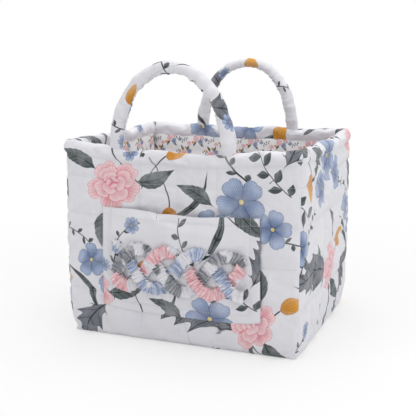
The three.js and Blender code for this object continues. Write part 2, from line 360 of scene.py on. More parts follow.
def inked(lines, wash):
    """A motif's tone, from its line (0) to its wash (1).

    Each motif has one number for its tone, because the shader's small memory holds those of all motifs."""
    return (wash * (1 - lines).clamped()).clamped()


def paint(pen, given, results, mask, tone, eye=None, stalk=None):
    """Ends a motif: its tone between line and wash, its eye or stalk, all laid over what is under it."""
    under = given["Under"]
    drawn = pen.mix(tone, given["Line"], given["Wash"])
    if eye:
        drawn = pen.mix(eye, drawn, given["Eye"])
    if stalk:
        under = pen.mix(stalk, under, given["Stalk"])
    pen.feed(results["Colour"], pen.mix(mask, under, drawn))


def strongest(*masks):
    """The greatest of some masks."""
    most = masks[0]
    for mask in masks[1:]:
        most = most.then("MAXIMUM", mask)
    return most


LEAF_OUTLINE = ((0, 0.03), (0.17, 0.04), (0.23, 0.22), (0.36, 0.78), (0.52, 1.0), (0.7, 0.80),
                (0.87, 0.38), (1, 0))


def make_leaf_group():
    """A leaf on its stalk in ink and wash: lobes cut between its side veins, and hatching along them."""
    pen, given, results, (x, y, _) = motif_group("Leaf", ("Bend", "Width", "Lobes", "Cut"))
    along = x.times_plus(0.8, 0.5)
    arch = along * (1 - along)
    side = arch.times_plus(given["Bend"], y)
    off = abs(side)
    slant = along - off * 0.9
    comb = (slant * given["Lobes"]).then("PINGPONG", 0.5)
    notch = (comb * math.pi).then("SINE") * given["Cut"]
    lobed = (pen.curve(along, LEAF_OUTLINE) - 0.008) * (1 - notch)
    inside = lobed * given["Width"] - off
    mask = inside.edge(0.006) * (along + 0.12).edge(0.01)
    midrib = (along.times_plus(-0.009, 0.015) - off).edge(0.006)
    veins = (0.035 - comb).edge(0.04) * 0.9
    low = side.edge(0.05).times_plus(0.28, 0.06)
    lines = strongest(inside.line(0.008, 0.007), midrib, veins, slant.hatching(190) * low)
    wash = comb.times_plus(0.45, 0.78)
    paint(pen, given, results, mask, inked(lines, wash))


PETAL_OUTLINE = ((0, 0.62), (0.08, 0.80), (0.24, 0.96), (0.40, 1.0), (0.5, 0.95), (0.60, 0.99),
                 (0.78, 0.94), (0.92, 0.78), (1, 0.62))


def make_bloom_group():
    """An open flower: pale petals about a small eye, veined from the throat and hatched at the rim."""
    pen, given, results, (x, y, reach) = motif_group("Open bloom", ["Petals"], ["Eye"])
    turn = y.then("ARCTAN2", x) / math.tau
    petal = (turn * given["Petals"]).then("FRACT")
    middle = petal.then("PINGPONG", 0.5)
    inside = pen.curve(petal, PETAL_OUTLINE) - reach
    fold = (middle * reach).line(0.017, 0.024)
    throat = (0.60 - reach).edge(0.5) * 0.7
    rim = (0.16 - inside).edge(0.2) * 0.3
    heart = (0.15 - reach).edge(0.06) * 1.1
    hatch = petal.hatching(63, 0.25) * (throat + rim)
    lines = strongest(hatch, fold * 0.85, heart, inside.line(0.022, 0.03) * 0.9)
    hollow = reach.times_plus(1.05, 0.22).clamped()
    wash = hollow * middle.times_plus(0.9, 0.65).clamped()
    eye = (0.095 - reach).edge(0.03)
    paint(pen, given, results, inside.edge(0.035), inked(lines, wash), eye=eye)


LOBE_OUTLINE = ((0, 0.70), (0.10, 0.84), (0.30, 0.99), (0.46, 0.93), (0.62, 1.0), (0.88, 0.88), (1, 0.70))
# Rings of petals, outside first: size, petals, turn, and how far each is moved up
PETAL_RINGS = ((1.0, 5, 0.1, 0.0), (0.74, 4, 0.42, 0.05), (0.47, 3, 0.7, 0.10), (0.24, 3, 0.2, 0.13))


def make_rosette_group():
    """A full flower: rings of ruffled petals, each pale at its rim and hatched from its foot."""
    pen, given, results, (x, y, _) = motif_group("Rosette")
    mask = None
    tone = 0.0
    for size, petals, turn, lift in PETAL_RINGS:
        up = y.times_plus(1.22, -lift)
        angle = up.then("ARCTAN2", x)
        reach = x.times_plus(x, up * up).then("SQRT")
        lobe = angle.times_plus(petals / math.tau, turn).then("FRACT")
        inside = pen.curve(lobe, LOBE_OUTLINE) * size - reach
        over = inside.edge(0.03)
        mask = mask or over
        gap = lobe.then("PINGPONG", 0.5) * reach
        foot = (inside * 2.4).clamped()
        hatch = angle.hatching(44) * foot.times_plus(0.42, 0.12)
        edges = strongest(gap.line(0.020, 0.028), inside.line(0.018, 0.024))
        lines = strongest(hatch, edges * 0.95)
        ring = foot.times_plus(-0.75, 1.0) * (1 - lines)
        tone = ring.times_plus(over, (1 - over) * tone)
    paint(pen, given, results, mask, tone)


BUD_OUTLINE = ((0, 0.0), (0.05, 0.42), (0.2, 0.86), (0.38, 1.0), (0.6, 0.86), (0.8, 0.52),
               (0.93, 0.26), (1, 0))


def make_bud_group():
    """A closed bud on a thin stalk, its petals lined from end to end."""
    pen, given, results, (x, y, _) = motif_group("Bud", ["Bend"], ["Stalk"])
    along = x + 0.5
    side = (x * x).times_plus(given["Bend"], y)
    off = abs(side)
    half = (pen.curve(along, BUD_OUTLINE) - 0.02) * 0.27
    share = side / half.then("MAXIMUM", 0.02)
    split = share.times_plus(1.5, 0.5).then("PINGPONG", 0.5)
    tip = (along - 0.55).clamped() * 0.45
    inside = half - (0.5 - split).times_plus(tip, off)
    hatch = share.hatching(17) * (0.85 - along).clamped()
    lines = strongest(split.line(0.05, 0.06), hatch, inside.line(0.012, 0.02)) * 0.85
    wash = along.times_plus(0.9, 0.25).clamped()
    stalk = (0.022 - off).edge(0.02) * ((-0.42 - x).edge(0.02) * (x + 1.9).edge(0.02))
    paint(pen, given, results, inside.edge(0.025), inked(lines, wash), stalk=stalk)


def make_sprig_group():
    """A thin curved stem with small leaves to either side in turn."""
    pen, given, results, (x, y, _) = motif_group("Sprig", ("Bend", "Leaves", "Leaf length"))
    along = x + 0.5
    side = (x * x).times_plus(given["Bend"], y)
    within = along.edge(0.01) * (1 - along).edge(0.01)
    stem = (along.times_plus(-0.006, 0.011) - abs(side)).edge(0.008)
    step = along * given["Leaves"]
    left = step.then("FLOOR").then("MODULO", 2) * 2 - 1
    out = side * left
    run = (step.then("FRACT") - 0.2) / given["Leaves"]
    tall = out.times_plus(0.83, run * 0.55)
    lean = out.times_plus(-0.55, run * 0.83)
    across = abs(lean)
    reach = tall / given["Leaf length"]
    belly = reach * (1 - reach) * 1.05
    inside = belly * given["Leaf length"] - across
    leaf = (inside - 0.002).edge(0.008)
    rib = (0.004 - across).edge(0.006)
    hatch = across.times_plus(-0.8, tall).hatching(300) * 0.35
    lines = strongest(stem, rib, hatch, inside.line(0.007, 0.006))
    wash = lean.edge(0.03).times_plus(0.5, 0.5)
    paint(pen, given, results, strongest(stem, leaf) * within, inked(lines, wash))


# The large print: motif, place on the repeat in millimetres, turn in degrees and size in millimetres,
# drawn for a repeat of this length
FLORAL_LENGTH = 250
FLORAL = (
    ("sprig", 172, 112, 112, 88),
    ("sprig", 112, 236, 52, 72),
    ("sprig", 12, 16, -24, 72),
    ("sprig", 96, 128, 62, 66),
    ("blade", 98, 196, 148, 74),
    ("blade", 184, 146, 66, 70),
    ("blade", 14, 196, 118, 66),
    ("blade", 130, 62, 40, 62),
    ("slate leaf", 146, 178, 168, 104),
    ("slate leaf", 36, 166, 232, 62),
    ("slate leaf", 236, 118, 76, 56),
    ("spray", 92, 22, -28, 58),
    ("spray", 222, 84, 128, 54),
    ("bud", 48, 124, 100, 34),
    ("bud", 120, 34, -96, 31),
    ("bud", 246, 212, 24, 31),
    ("bud", 128, 104, 20, 27),
    ("small leaf", 20, 86, 152, 44),
    ("small leaf", 50, 24, 258, 42),
    ("small leaf", 98, 78, 16, 44),
    ("small leaf", 148, 58, 148, 40),
    ("small leaf", 232, 160, -48, 42),
    ("small leaf", 208, 228, 96, 40),
    ("pink", 58, 66, 20, 30),
    ("pink", 206, 188, 75, 27),
    ("blue", 224, 34, 40, 19),
    ("blue", 162, 28, 0, 20),
    ("blue", 192, 56, 12, 25),
    ("blue", 96, 232, 20, 18),
    ("blue", 32, 236, 55, 17),
    ("blue", 63, 214, 8, 24),
    ("star", 112, 146, 5, 9),
    ("star", 10, 120, 30, 9),
    ("star", 76, 100, 14, 8),
)

# The lining's small print, drawn the same way: two posies in each repeat
DITSY_LENGTH = 45
DITSY = (
    ("twig", 3.5, 13, 168, 13),
    ("twig", 19.5, 7, -34, 12),
    ("twig", 27, 40, 140, 12),
    ("twig", 42, 34, 8, 13),
    ("olive leaf", 7, 18, 112, 10),
    ("olive leaf", 16, 19, 58, 10),
    ("olive leaf", 8, 3.5, 250, 10),
    ("olive leaf", 30, 27, 232, 10),
    ("olive leaf", 40, 27, -48, 10),
    ("olive leaf", 36, 43, 84, 10),
    ("pink", 11, 11, 10, 6.6),
    ("blue", 19.5, 14.5, 0, 4.4),
    ("blue", 3.2, 7.2, 30, 3.6),
    ("gold", 13.5, 19.5, 0, 2.3),
    ("gold", 3.5, 15, 0, 1.9),
    ("pink", 31, 34, 60, 5.8),
    ("pink", 39.8, 38.6, 100, 4.4),
    ("blue", 38.4, 29.6, 12, 4.5),
    ("gold", 43.5, 43, 0, 2.2),
    ("gold", 25.5, 28.5, 0, 2.0),
    ("twig", 11, 32, 24, 12),
    ("pink", 19.5, 27, 0, 3.8),
    ("blue", 3.5, 33, 0, 3.2),
)

LEAFY = {"line": "ink", "wash": "foliage"}
OLIVE = {"line": "olive_deep", "wash": "olive"}
BLUE = {"line": "blue_deep", "wash": "blue", "eye": "straw"}
GOLD = {"line": "ochre_deep", "wash": "ochre"}
# Each motif: its node group, its shape and its colours
MOTIFS = {
    "sprig": ("Sprig", {"bend": 0.5, "leaves": 9, "leaf_length": 0.11}, LEAFY),
    "spray": ("Sprig", {"bend": 0.35, "leaves": 6, "leaf_length": 0.27}, LEAFY),
    "twig": ("Sprig", {"bend": 0.3, "leaves": 6, "leaf_length": 0.30}, OLIVE),
    "blade": ("Leaf", {"bend": 1.15, "width": 0.055, "lobes": 2, "cut": 0.0}, LEAFY),
    "slate leaf": ("Leaf", {"bend": 0.75, "width": 0.26, "lobes": 6, "cut": 0.42},
                   {"line": "ink", "wash": "slate"}),
    "small leaf": ("Leaf", {"bend": 0.5, "width": 0.19, "lobes": 8, "cut": 0.07}, LEAFY),
    "olive leaf": ("Leaf", {"bend": 0.4, "width": 0.20, "lobes": 4, "cut": 0.1}, OLIVE),
    "bud": ("Bud", {"bend": 0.25}, {"stalk": "ink", **GOLD}),
    "pink": ("Rosette", {}, {"line": "rose", "wash": "blush"}),
    "gold": ("Open bloom", {"petals": 5}, {"eye": "straw", **GOLD}),
    "blue": ("Open bloom", {"petals": 5}, BLUE),
    "star": ("Open bloom", {"petals": 7}, BLUE),
}


def make_print_group(name, colours, ground, repeat, drawn_for, motifs):
    """A printed cloth: every motif of a table over a plain ground, with an unsteady line and uneven ink."""
    pen, given, results = new_group(name, sockets(VECTOR, "Cloth"), sockets(COLOUR, "Colour"))
    unsteady = pen.vector("SUBTRACT", pen.noise(given["Cloth"], 5.5 / repeat, out=1), (0.5, 0.5, 0.5))
    shift = pen.scaled(unsteady, 0.035 * repeat)
    across, up = pen.across_and_up(pen.vector("ADD", given["Cloth"], shift))
    scale = repeat / drawn_for
    painted = ground
    for kind, x, y, turn, size in motifs:
        group, shape, tints = MOTIFS[kind]
        tints = {label: getattr(colours, tint) for label, tint in tints.items()}
        (painted,) = use_group(pen, group, under=painted, across=across, up=up, repeat=repeat,
                               middle_across=x * scale, middle_up=y * scale, angle=math.radians(turn),
                               size=size * scale, **shape, **tints)
    thin = pen.noise(given["Cloth"], 14 / repeat).times_plus(0.9, -0.40).clamped()
    pen.feed(results["Colour"], pen.mix(thin, painted, ground))


def make_petal_group():
    """Scraps of a flowered print, as a narrow strip cut from it shows: patches of petal and fine lines."""
    inputs = sockets(VECTOR, "Cloth") + sockets(COLOUR, "Ground", "Pale", "Deep")
    pen, given, results = new_group("Petal scraps", inputs, sockets(COLOUR, "Colour"))
    patch = (pen.noise(given["Cloth"], 30.0, detail=1.5) - 0.47).edge(0.05)
    depth = pen.noise(given["Cloth"], 120.0)
    ray = pen.add("ShaderNodeTexWave", {"Vector": given["Cloth"], "Scale": 70.0, "Distortion": 4.0,
                                        "Detail": 2.0, "Detail Scale": 0.6}, 1, bands_direction="X")
    lines = (Num(pen, ray) - 0.72).edge(0.3)
    fill = pen.mix(depth.times_plus(2.0, -0.85).clamped(), given["Pale"], given["Deep"])
    lined = pen.mix(lines * 0.65, fill, given["Deep"])
    pen.feed(results["Colour"], pen.mix(patch, given["Ground"], lined))


def make_weave_group():
    """Plain weave: the height of its threads and a slight unevenness of shade."""
    inputs = sockets(VECTOR, "Cloth") + sockets(FLOAT, "Thread")
    pen, given, results = new_group("Cotton weave", inputs, sockets(FLOAT, "Height", "Shade"))
    warp, weft = pen.across_and_up(pen.scaled(given["Cloth"], math.pi / given["Thread"]))
    over = warp.then("SINE") * weft.then("SINE")
    slub = pen.noise(given["Cloth"], 420.0, detail=3.0)
    mottle = pen.noise(given["Cloth"], 34.0)
    pen.feed(results["Height"], slub.times_plus(0.9, over))
    pen.feed(results["Shade"], mottle.times_plus(0.10, 0.95))


def make_groups(context):
    """Every node group that the materials share."""
    sewing = context.scene.basket_sewing
    colours = context.scene.basket_colours
    make_place_group()
    make_leaf_group()
    make_bloom_group()
    make_rosette_group()
    make_bud_group()
    make_sprig_group()
    make_petal_group()
    make_weave_group()
    make_print_group("Large flowers", colours, colours.cotton, sewing.repeat, FLORAL_LENGTH, FLORAL)
    make_print_group("Small flowers", colours, colours.lining, sewing.lining_repeat, DITSY_LENGTH, DITSY)


# Materials

# The weave's threads, how high each surface stands, the thread's painted shade in the grooves of its twist,
# and the lesser tints of the board
WEAVE_PITCH = 0.34 * MM
WEAVE_RELIEF = 0.12 * MM
CRUMPLE_RELIEF = 1.9 * MM
THREAD_RELIEF = 0.1 * MM
BOARD_RELIEF = 0.15 * MM
THREAD_GROOVE_SHADE = (0.5, 0.5, 0.52)
BOARD_PALE = (0.46, 0.43, 0.38)
BOARD_FLECK = (0.16, 0.14, 0.12)


def new_material(name):
    """The pen of an empty node material."""
    material = bpy.data.materials.new(name)
    material.use_nodes = True
    material.node_tree.nodes.clear()
    return Pen(material.node_tree)


def make_woven_material(name, group, **tints):
    """Woven cotton: a group gives its print from the cloth's own place, and the weave its height."""
    pen = new_material(name)
    cloth = pen.add("ShaderNodeUVMap", uv_map="cloth")
    height, shade = use_group(pen, "Cotton weave", cloth=cloth, thread=WEAVE_PITCH)
    (printed,) = use_group(pen, group, cloth=cloth, **tints)
    crumple = pen.noise(cloth, 95.0, detail=4.0, rough=0.6)
    creased = pen.bump(crumple, 0.5, CRUMPLE_RELIEF)
    pen.finish(pen.add("ShaderNodeBsdfPrincipled", {
        "Base Color": pen.mix(1.0, printed, shade, "MULTIPLY"),
        "Roughness": height.times_plus(-0.05, 0.88).clamped(),
        "Normal": pen.bump(height, 0.25, WEAVE_RELIEF, Normal=creased),
        "Sheen Weight": 0.25,
        "Sheen Roughness": 0.45,
        "Specular IOR Level": 0.25,
    }))


def make_thread_material(colours):
    """Twisted cotton thread, painted a little darker in the grooves of its twist as painted shade."""
    pen = new_material("Thread")
    place = pen.add("ShaderNodeTexCoord", out="Object")
    twist = pen.add("ShaderNodeTexWave", {"Vector": place, "Scale": 900.0, "Distortion": 1.5}, 1,
                    bands_direction="DIAGONAL")
    fuzz = pen.noise(place, 2600.0)
    # Painted shade: the thread is darker where its twist sinks in, in the grooves between its turns
    groove_shade = pen.mix(0.25, colours.thread, THREAD_GROOVE_SHADE)
    pen.finish(pen.add("ShaderNodeBsdfPrincipled", {
        "Base Color": pen.mix(twist, groove_shade, colours.thread),
        "Roughness": fuzz.times_plus(0.2, 0.55),
        "Normal": pen.bump(fuzz.times_plus(0.4, twist), 0.4, THREAD_RELIEF),
        "Sheen Weight": 0.3,
    }))


def make_board_material(colours):
    """Grey pulp board, hidden under the lining."""
    pen = new_material("Pulp board")
    place = pen.add("ShaderNodeTexCoord", out="Object")
    fibre = pen.noise(place, 700.0, detail=4.0, rough=0.65)
    fleck = (pen.noise(place, 160.0) - 0.66).edge(0.06)
    pale = pen.mix(fibre, colours.board, BOARD_PALE)
    pen.finish(pen.add("ShaderNodeBsdfPrincipled", {
        "Base Color": pen.mix(fleck, pale, BOARD_FLECK),
        "Roughness": fibre.times_plus(0.15, 0.80),
        "Normal": pen.bump(fibre, 0.3, BOARD_RELIEF),
    }))


def make_materials(context):
    """Every cloth, thread and board of the basket."""
    colours = context.scene.basket_colours
    make_woven_material("Printed cotton", "Large flowers")
    make_woven_material("Lining cotton", "Small flowers")
    for name in RUCHED_STRIPS:
        make_woven_material(name.capitalize() + " print", "Petal scraps", ground=colours.cotton,
                            pale=getattr(colours, name + "_scrap"), deep=getattr(colours, name + "_line"))
    make_thread_material(colours)
    make_board_material(colours)


# Shaping cloth

# The cotton's springiness while it settles, the gap that still counts as joined, and how many waves
# make up a soft unevenness
CLOTH = {
    "quality": 6,
    "mass": 0.2,
    "tension_stiffness": 20,
    "compression_stiffness": 20,
    "shear_stiffness": 8,
    "air_damping": 3,
}
JOINED = 0.02 * MM
WAVES_MIXED = 9


def activate(piece):
    """Makes one piece the only one that operators act on."""
    bpy.ops.object.select_all(action="DESELECT")
    piece.select_set(True)
    bpy.context.view_layer.objects.active = piece


def points_of(piece):
    """A piece's points as rows of x, y and z."""
    flat = np.empty(3 * len(piece.data.vertices))
    piece.data.vertices.foreach_get("co", flat)
    return flat.reshape(-1, 3)


def set_points(piece, points):
    """Moves a piece's points."""
    piece.data.vertices.foreach_set("co", np.ascontiguousarray(points, dtype=np.float32).ravel())
    piece.data.update()


def new_cloth(name, columns, rows):
    """A flat grid to lay as cloth, with the number of each point's column and row."""
    bpy.ops.object.select_all(action="DESELECT")
    bpy.ops.mesh.primitive_grid_add(x_subdivisions=columns, y_subdivisions=rows, size=1)
    piece = bpy.context.object
    piece.name = name
    piece.data.name = name
    flat = points_of(piece)
    column = np.rint((flat[:, 0] + 0.5) * columns)
    row = np.rint((flat[:, 1] + 0.5) * rows)
    return piece, column, row


def lay(piece, points, cloth):
    """Lays a grid's points in place, and writes each one's place on the flat cloth as its UV."""
    set_points(piece, points)
    layer = piece.data.uv_layers.active
    layer.name = "cloth"
    corner = np.empty(len(piece.data.loops), dtype=np.int32)
    piece.data.loops.foreach_get("vertex_index", corner)
    layer.data.foreach_set("uv", np.ascontiguousarray(cloth[corner], dtype=np.float32).ravel())


def bell(distance, reach):
    """1 at no distance, and falling smoothly to 0 beyond a reach."""
    return np.exp(-((distance / reach) ** 2))


def length_along(line):
    """How far each point of a line is from its start, along it."""
    return np.concatenate(([0], np.cumsum(np.linalg.norm(np.diff(line, axis=0), axis=1))))


def soft_waves(places, wavelength, seed):
    """Smooth unevenness of about 1 either way, the same for the same seed."""
    chance = np.random.default_rng(seed)
    total = np.zeros(len(places))
    for _ in range(WAVES_MIXED):
        heading = chance.normal(size=places.shape[1])
        heading *= math.tau * chance.uniform(0.6, 1.4) / wavelength / np.linalg.norm(heading)
        total += np.sin(places @ heading + chance.uniform(0, math.tau))
    return total / math.sqrt(WAVES_MIXED / 2)


def settle(made, sewing, most, slack=1.0, pressure=1.0, bend=0.3):
    """Lets laid pieces of cloth settle over their filling between the points that are sewn down.

    most is as far as any point may move from where it was laid."""
    scene = bpy.context.scene
    for piece, held in made:
        group = piece.vertex_groups.new(name="sewn")
        group.add([int(i) for i in np.flatnonzero(held)], 1.0, "REPLACE")
        modifier = piece.modifiers.new("Settling", "CLOTH")
        cloth = modifier.settings
        for setting, value in CLOTH.items():
            setattr(cloth, setting, value)
        cloth.bending_stiffness = bend
        cloth.vertex_group_mass = "sewn"
        cloth.use_pressure = True
        cloth.uniform_pressure_force = pressure * sewing.pressure
        cloth.shrink_min = -slack * sewing.slack
        cloth.effector_weights.gravity = 0
        modifier.collision_settings.use_collision = False
        modifier.point_cache.frame_start = 1
        modifier.point_cache.frame_end = sewing.settle_frames
    for number in range(1, sewing.settle_frames + 1):
        scene.frame_set(number)
    graph = bpy.context.evaluated_depsgraph_get()
    for piece, _ in made:
        laid = points_of(piece)
        move = points_of(piece.evaluated_get(graph)) - laid
        far = np.linalg.norm(move, axis=1, keepdims=True)
        move *= np.minimum(1, most / np.maximum(far, 1e-9))
        piece.modifiers.remove(piece.modifiers["Settling"])
        piece.vertex_groups.clear()
        set_points(piece, laid + move)
    scene.frame_set(1)


def apply_modifier(piece, name, kind, **settings):
    """Shapes a piece with one modifier, and smooths its shading."""
    activate(piece)
    modifier = piece.modifiers.new(name, kind)
    for setting, value in settings.items():
        setattr(modifier, setting, value)
    bpy.ops.object.modifier_apply(modifier=name)
    bpy.ops.object.shade_smooth()


def refine(piece):
    """Smooths a piece with a subdivision."""
    apply_modifier(piece, "Smooth", "SUBSURF", levels=1, render_levels=1,
                   boundary_smooth="PRESERVE_CORNERS")


def thicken(piece, thickness):
    """Gives a sheet its thickness, on the side away from its face."""
    apply_modifier(piece, "Thickness", "SOLIDIFY", thickness=thickness, offset=-1.0, use_rim=True)


def close_tube(piece):
    """Joins a grid's first and last rows to a tube, smooths it and fills its ends behind a sharp edge."""
    activate(piece)
    bpy.ops.object.mode_set(mode="EDIT")
    bpy.ops.mesh.select_all(action="SELECT")
    bpy.ops.mesh.remove_doubles(threshold=JOINED)
    bpy.ops.object.mode_set(mode="OBJECT")
    refine(piece)
    bpy.ops.object.mode_set(mode="EDIT")
    bpy.ops.mesh.select_mode(type="EDGE")
    bpy.ops.mesh.select_all(action="DESELECT")
    bpy.ops.mesh.select_non_manifold(use_wire=False, use_multi_face=False, use_non_contiguous=False,
                                     use_verts=False)
    bpy.ops.mesh.mark_sharp()
    bpy.ops.mesh.fill_holes(sides=0)
    bpy.ops.mesh.select_all(action="SELECT")
    bpy.ops.mesh.normals_make_consistent(inside=False)
    bpy.ops.mesh.select_mode(type="VERT")
    bpy.ops.object.mode_set(mode="OBJECT")


def cover(piece, material):
    """Gives a piece its only material."""
    piece.data.materials.clear()
    piece.data.materials.append(bpy.data.materials[material])


def dress(piece, material, body="basket"):
    """Gives a finished piece its material, and lets it ride on a body."""
    cover(piece, material)
    if body:
        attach(piece, body)


# The padded walls

# A wall's points: columns in each square of quilting, and rows round the bottom edge, up the face,
# over the roll and down the hidden side
WALL_COLUMNS = 17
EDGE_ROWS = 5
FACE_ROWS = 70
ROLL_ROWS = 24
BACK_ROWS = 5
STITCH_ROW = EDGE_ROWS + FACE_ROWS
INNER_ROW = STITCH_ROW + ROLL_ROWS
LAST_ROW = INNER_ROW + BACK_ROWS
# As far as settling cloth may move, and the gap between two walls at their corner seam
WALL_TRAVEL = 3.5 * MM
SEAM_GAP = 0.08 * MM
# The hidden side: its depth in the wall, and how far it stops short of the stitching and the edge
HIDDEN_DEPTH = 6.9 * MM
HIDDEN_STOP = 1 * MM
# Level rows of quilting, counted up the face, and how far the valleys and the rim's stitching reach
QUILT_ROWS = (16, 32, 47, 62)
VALLEY_REACH = 2.6 * MM
VALLEY_FADE = 3
RIM_STITCH_PULL = 1.3 * MM
RIM_STITCH_ROWS = 1.1
# Small wrinkles that cross the sewing: from one to the next, their reach, and drawn out along themselves
PUCKER_WAVE = 10 * MM
PUCKER_REACH = 9 * MM
PUCKER_DEPTH = 0.42 * MM
PUCKER_STRETCH = 0.3
PUCKER_FROM_CORNER = 8 * MM
# Wide unevenness of the face, which starts above the bottom edge
UNEVEN_WAVE = 90 * MM
UNEVEN_DEPTH = 0.5 * MM
UNEVEN_FROM = 40 * MM
# Where the front's rim is uneven, from corner (-1) to corner (1), and how far it lifts there
FRONT_RIM_LIFTS = ((-0.68, 1.3 * MM), (-0.45, -1.3 * MM), (-0.18, 1.2 * MM), (0.22, -0.4 * MM),
                   (0.50, 0.6 * MM), (0.72, 2.4 * MM))
RIM_LIFT_REACH = 0.13
# The three other rims sag and wave a little
OTHER_RIM_SAG = 1.2 * MM
OTHER_RIM_LIFT = 0.7 * MM
OTHER_RIM_WAVE = 0.55
# The upright seams pull the cloth in all the way up, and more at the foot of each corner
CORNER_PULL = 0.35 * MM
CORNER_PULL_VARY = 0.2 * MM
CORNER_PULL_WAVE = 34 * MM
CORNER_PULL_REACH = 2.0 * MM
CORNERS_APART = 0.9
FOOT_PULL = 6.0 * MM
FOOT_PULL_UP = 11 * MM
FOOT_PULL_ALONG = 12 * MM
# A wall's belly: its rounded and its even part, where the even part starts, and its share at corners
BELLY_ROUND = 0.75
BELLY_EVEN = 0.35
BELLY_FOOT = 0.2
BELLY_CORNER = 0.55


def half_length(wall, sizes):
    """Half a wall's length."""
    return (sizes.width if wall.turn % 180 == 0 else sizes.depth) / 2


def to_basket(wall, sizes, along, depth, height):
    """From a wall's own frame (along it, into it, up) to the basket's."""
    out = depth - (sizes.depth if wall.turn % 180 == 0 else sizes.width) / 2
    cosine = round(math.cos(math.radians(wall.turn)))
    sine = round(math.sin(math.radians(wall.turn)))
    return np.column_stack((cosine * along - sine * out, sine * along + cosine * out, height))


def rim_top(wall, sizes, share):
    """Height of a wall's rim, from corner seam (-1) to corner seam (1)."""
    if wall.name == "front":
        sag = sizes.front_sag
        wave = sum(lift * bell(share - at, RIM_LIFT_REACH) for at, lift in FRONT_RIM_LIFTS)
    else:
        sag = OTHER_RIM_SAG
        wave = OTHER_RIM_LIFT * soft_waves(share[:, None], OTHER_RIM_WAVE, 40 + wall.turn)
    return sizes.height + (wave - sag) * (1 - share**2)


def corner_shape(wall, sizes, share):
    """Place along a wall, inset where its face rounds towards the corner seams, and the cloth's run."""
    straight = half_length(wall, sizes) - sizes.corner_round
    run = share * (straight + sizes.corner_round * math.pi / 4)
    angle = np.clip((np.abs(run) - straight) / sizes.corner_round, 0, math.pi / 4)
    along = np.sign(run) * (np.minimum(np.abs(run), straight) + sizes.corner_round * np.sin(angle))
    return along, sizes.corner_round * (1 - np.cos(angle)), run


def corner_pinch(wall, sizes, share, height):
    """How far the upright seams pull the cloth in, unevenly, so that both walls of a corner meet."""
    number = wall.turn // 90
    corner = np.where(share > 0, number, (number - 1) % 4)
    places = np.column_stack((height, corner * CORNERS_APART))
    pull = CORNER_PULL + CORNER_PULL_VARY * soft_waves(places, CORNER_PULL_WAVE, 7)
    away = (1 - np.abs(share)) * half_length(wall, sizes)
    foot = FOOT_PULL * bell(height, FOOT_PULL_UP) * bell(away, FOOT_PULL_ALONG)
    return pull * bell(away, CORNER_PULL_REACH) + foot


def place_on_wall(wall, sizes, share, depth, height):
    """A point of a padded wall in the basket's frame, rounded and pinched at the corner seams."""
    half = half_length(wall, sizes)
    along, inset, _ = corner_shape(wall, sizes, share)
    fade = np.clip(1 - depth / sizes.corner_round, 0, None)
    seam_inset = sizes.corner_round * (1 - math.cos(math.pi / 4))
    pinch = corner_pinch(wall, sizes, share, height) * np.clip(fade, 0, 1)
    full = corner_pinch(wall, sizes, np.sign(share), height) * np.clip(fade, 0, 1)
    end = depth + seam_inset * fade + full
    along = along * (half - end - SEAM_GAP) / (half - seam_inset)
    return to_basket(wall, sizes, along, depth + inset * fade + pinch, height)


def wall_section(wall, sizes, share, row):
    """A wall's closed section: under the edge, up the face, over the roll and down the hidden side.

    Gives depth, height and the cloth's own length along the section for each point."""
    top = rim_top(wall, sizes, share)
    stitch = top - sizes.rim_band
    radius = sizes.bottom_round
    bend = np.clip(row / EDGE_ROWS, 0, 1) * math.pi / 2
    climb = np.clip((row - EDGE_ROWS) / FACE_ROWS, 0, 1)
    depth = radius * (1 - np.sin(bend))
    height = radius * (1 - np.cos(bend)) + climb * (stitch - radius)
    middle = sizes.wall / 2
    rise = sizes.rim_band / (1 + math.sqrt(1 - (middle / sizes.rim_half) ** 2))
    cut = math.asin((sizes.rim_band - rise) / rise)
    around = np.clip((row - STITCH_ROW) / ROLL_ROWS, 0, 1) * (math.pi + 2 * cut) - cut
    rolled = row > STITCH_ROW
    depth = np.where(rolled, middle - sizes.rim_half * np.cos(around), depth)
    height = np.where(rolled, top - rise + rise * np.sin(around), height)
    cloth = np.where(rolled, stitch + (around + cut) * (rise + sizes.rim_half) / 2, height)
    cloth = np.where(row < EDGE_ROWS, radius - (1 - row / EDGE_ROWS) * radius * math.pi / 2, cloth)
    down = np.clip((row - INNER_ROW - 1) / (BACK_ROWS - 2), 0, 1)
    hidden = row > INNER_ROW
    depth = np.where(hidden, HIDDEN_DEPTH, depth)
    height = np.where(hidden, (stitch - HIDDEN_STOP) * (1 - down) + (radius + HIDDEN_STOP) * down, height)
    cloth = np.where(hidden, cloth + stitch - height, cloth)
    depth = np.where(row == LAST_ROW, radius, depth)
    height = np.where(row == LAST_ROW, 0.0, height)
    return depth, height, cloth


def from_uprights(wall, share):
    """How far a place is from the nearest upright row of quilting, in squares."""
    return np.abs((share * wall.squares / 2 + wall.squares / 2 + 0.5) % 1 - 0.5)


def from_quilting(wall, sizes, share, row, levels):
    """Distances of a wall's points from the nearest upright row and the nearest of some level rows."""
    pitch = (sizes.height - sizes.rim_band - sizes.bottom_round) / FACE_ROWS
    lines = np.array(levels)[:, None] + EDGE_ROWS
    square = 2 * half_length(wall, sizes) / wall.squares
    return from_uprights(wall, share) * square, np.abs(row - lines).min(axis=0) * pitch


def on_quilting(column, row):
    """Which points of a wall's face lie on a row of quilting."""
    face = (row >= EDGE_ROWS) & (row <= STITCH_ROW)
    upright = (column % WALL_COLUMNS == 0) & face
    return upright | np.isin(row - EDGE_ROWS, QUILT_ROWS)


def quilt_valley(wall, sizes, sewing, share, row):
    """How far the rows of quilting pull the face in."""
    from_line, from_row = from_quilting(wall, sizes, share, row, QUILT_ROWS)
    nearest = np.maximum(bell(from_line, VALLEY_REACH), bell(from_row, VALLEY_REACH))
    face = np.clip(np.minimum(row - EDGE_ROWS, STITCH_ROW - row) / VALLEY_FADE, 0, 1)
    return sewing.valley * nearest * face


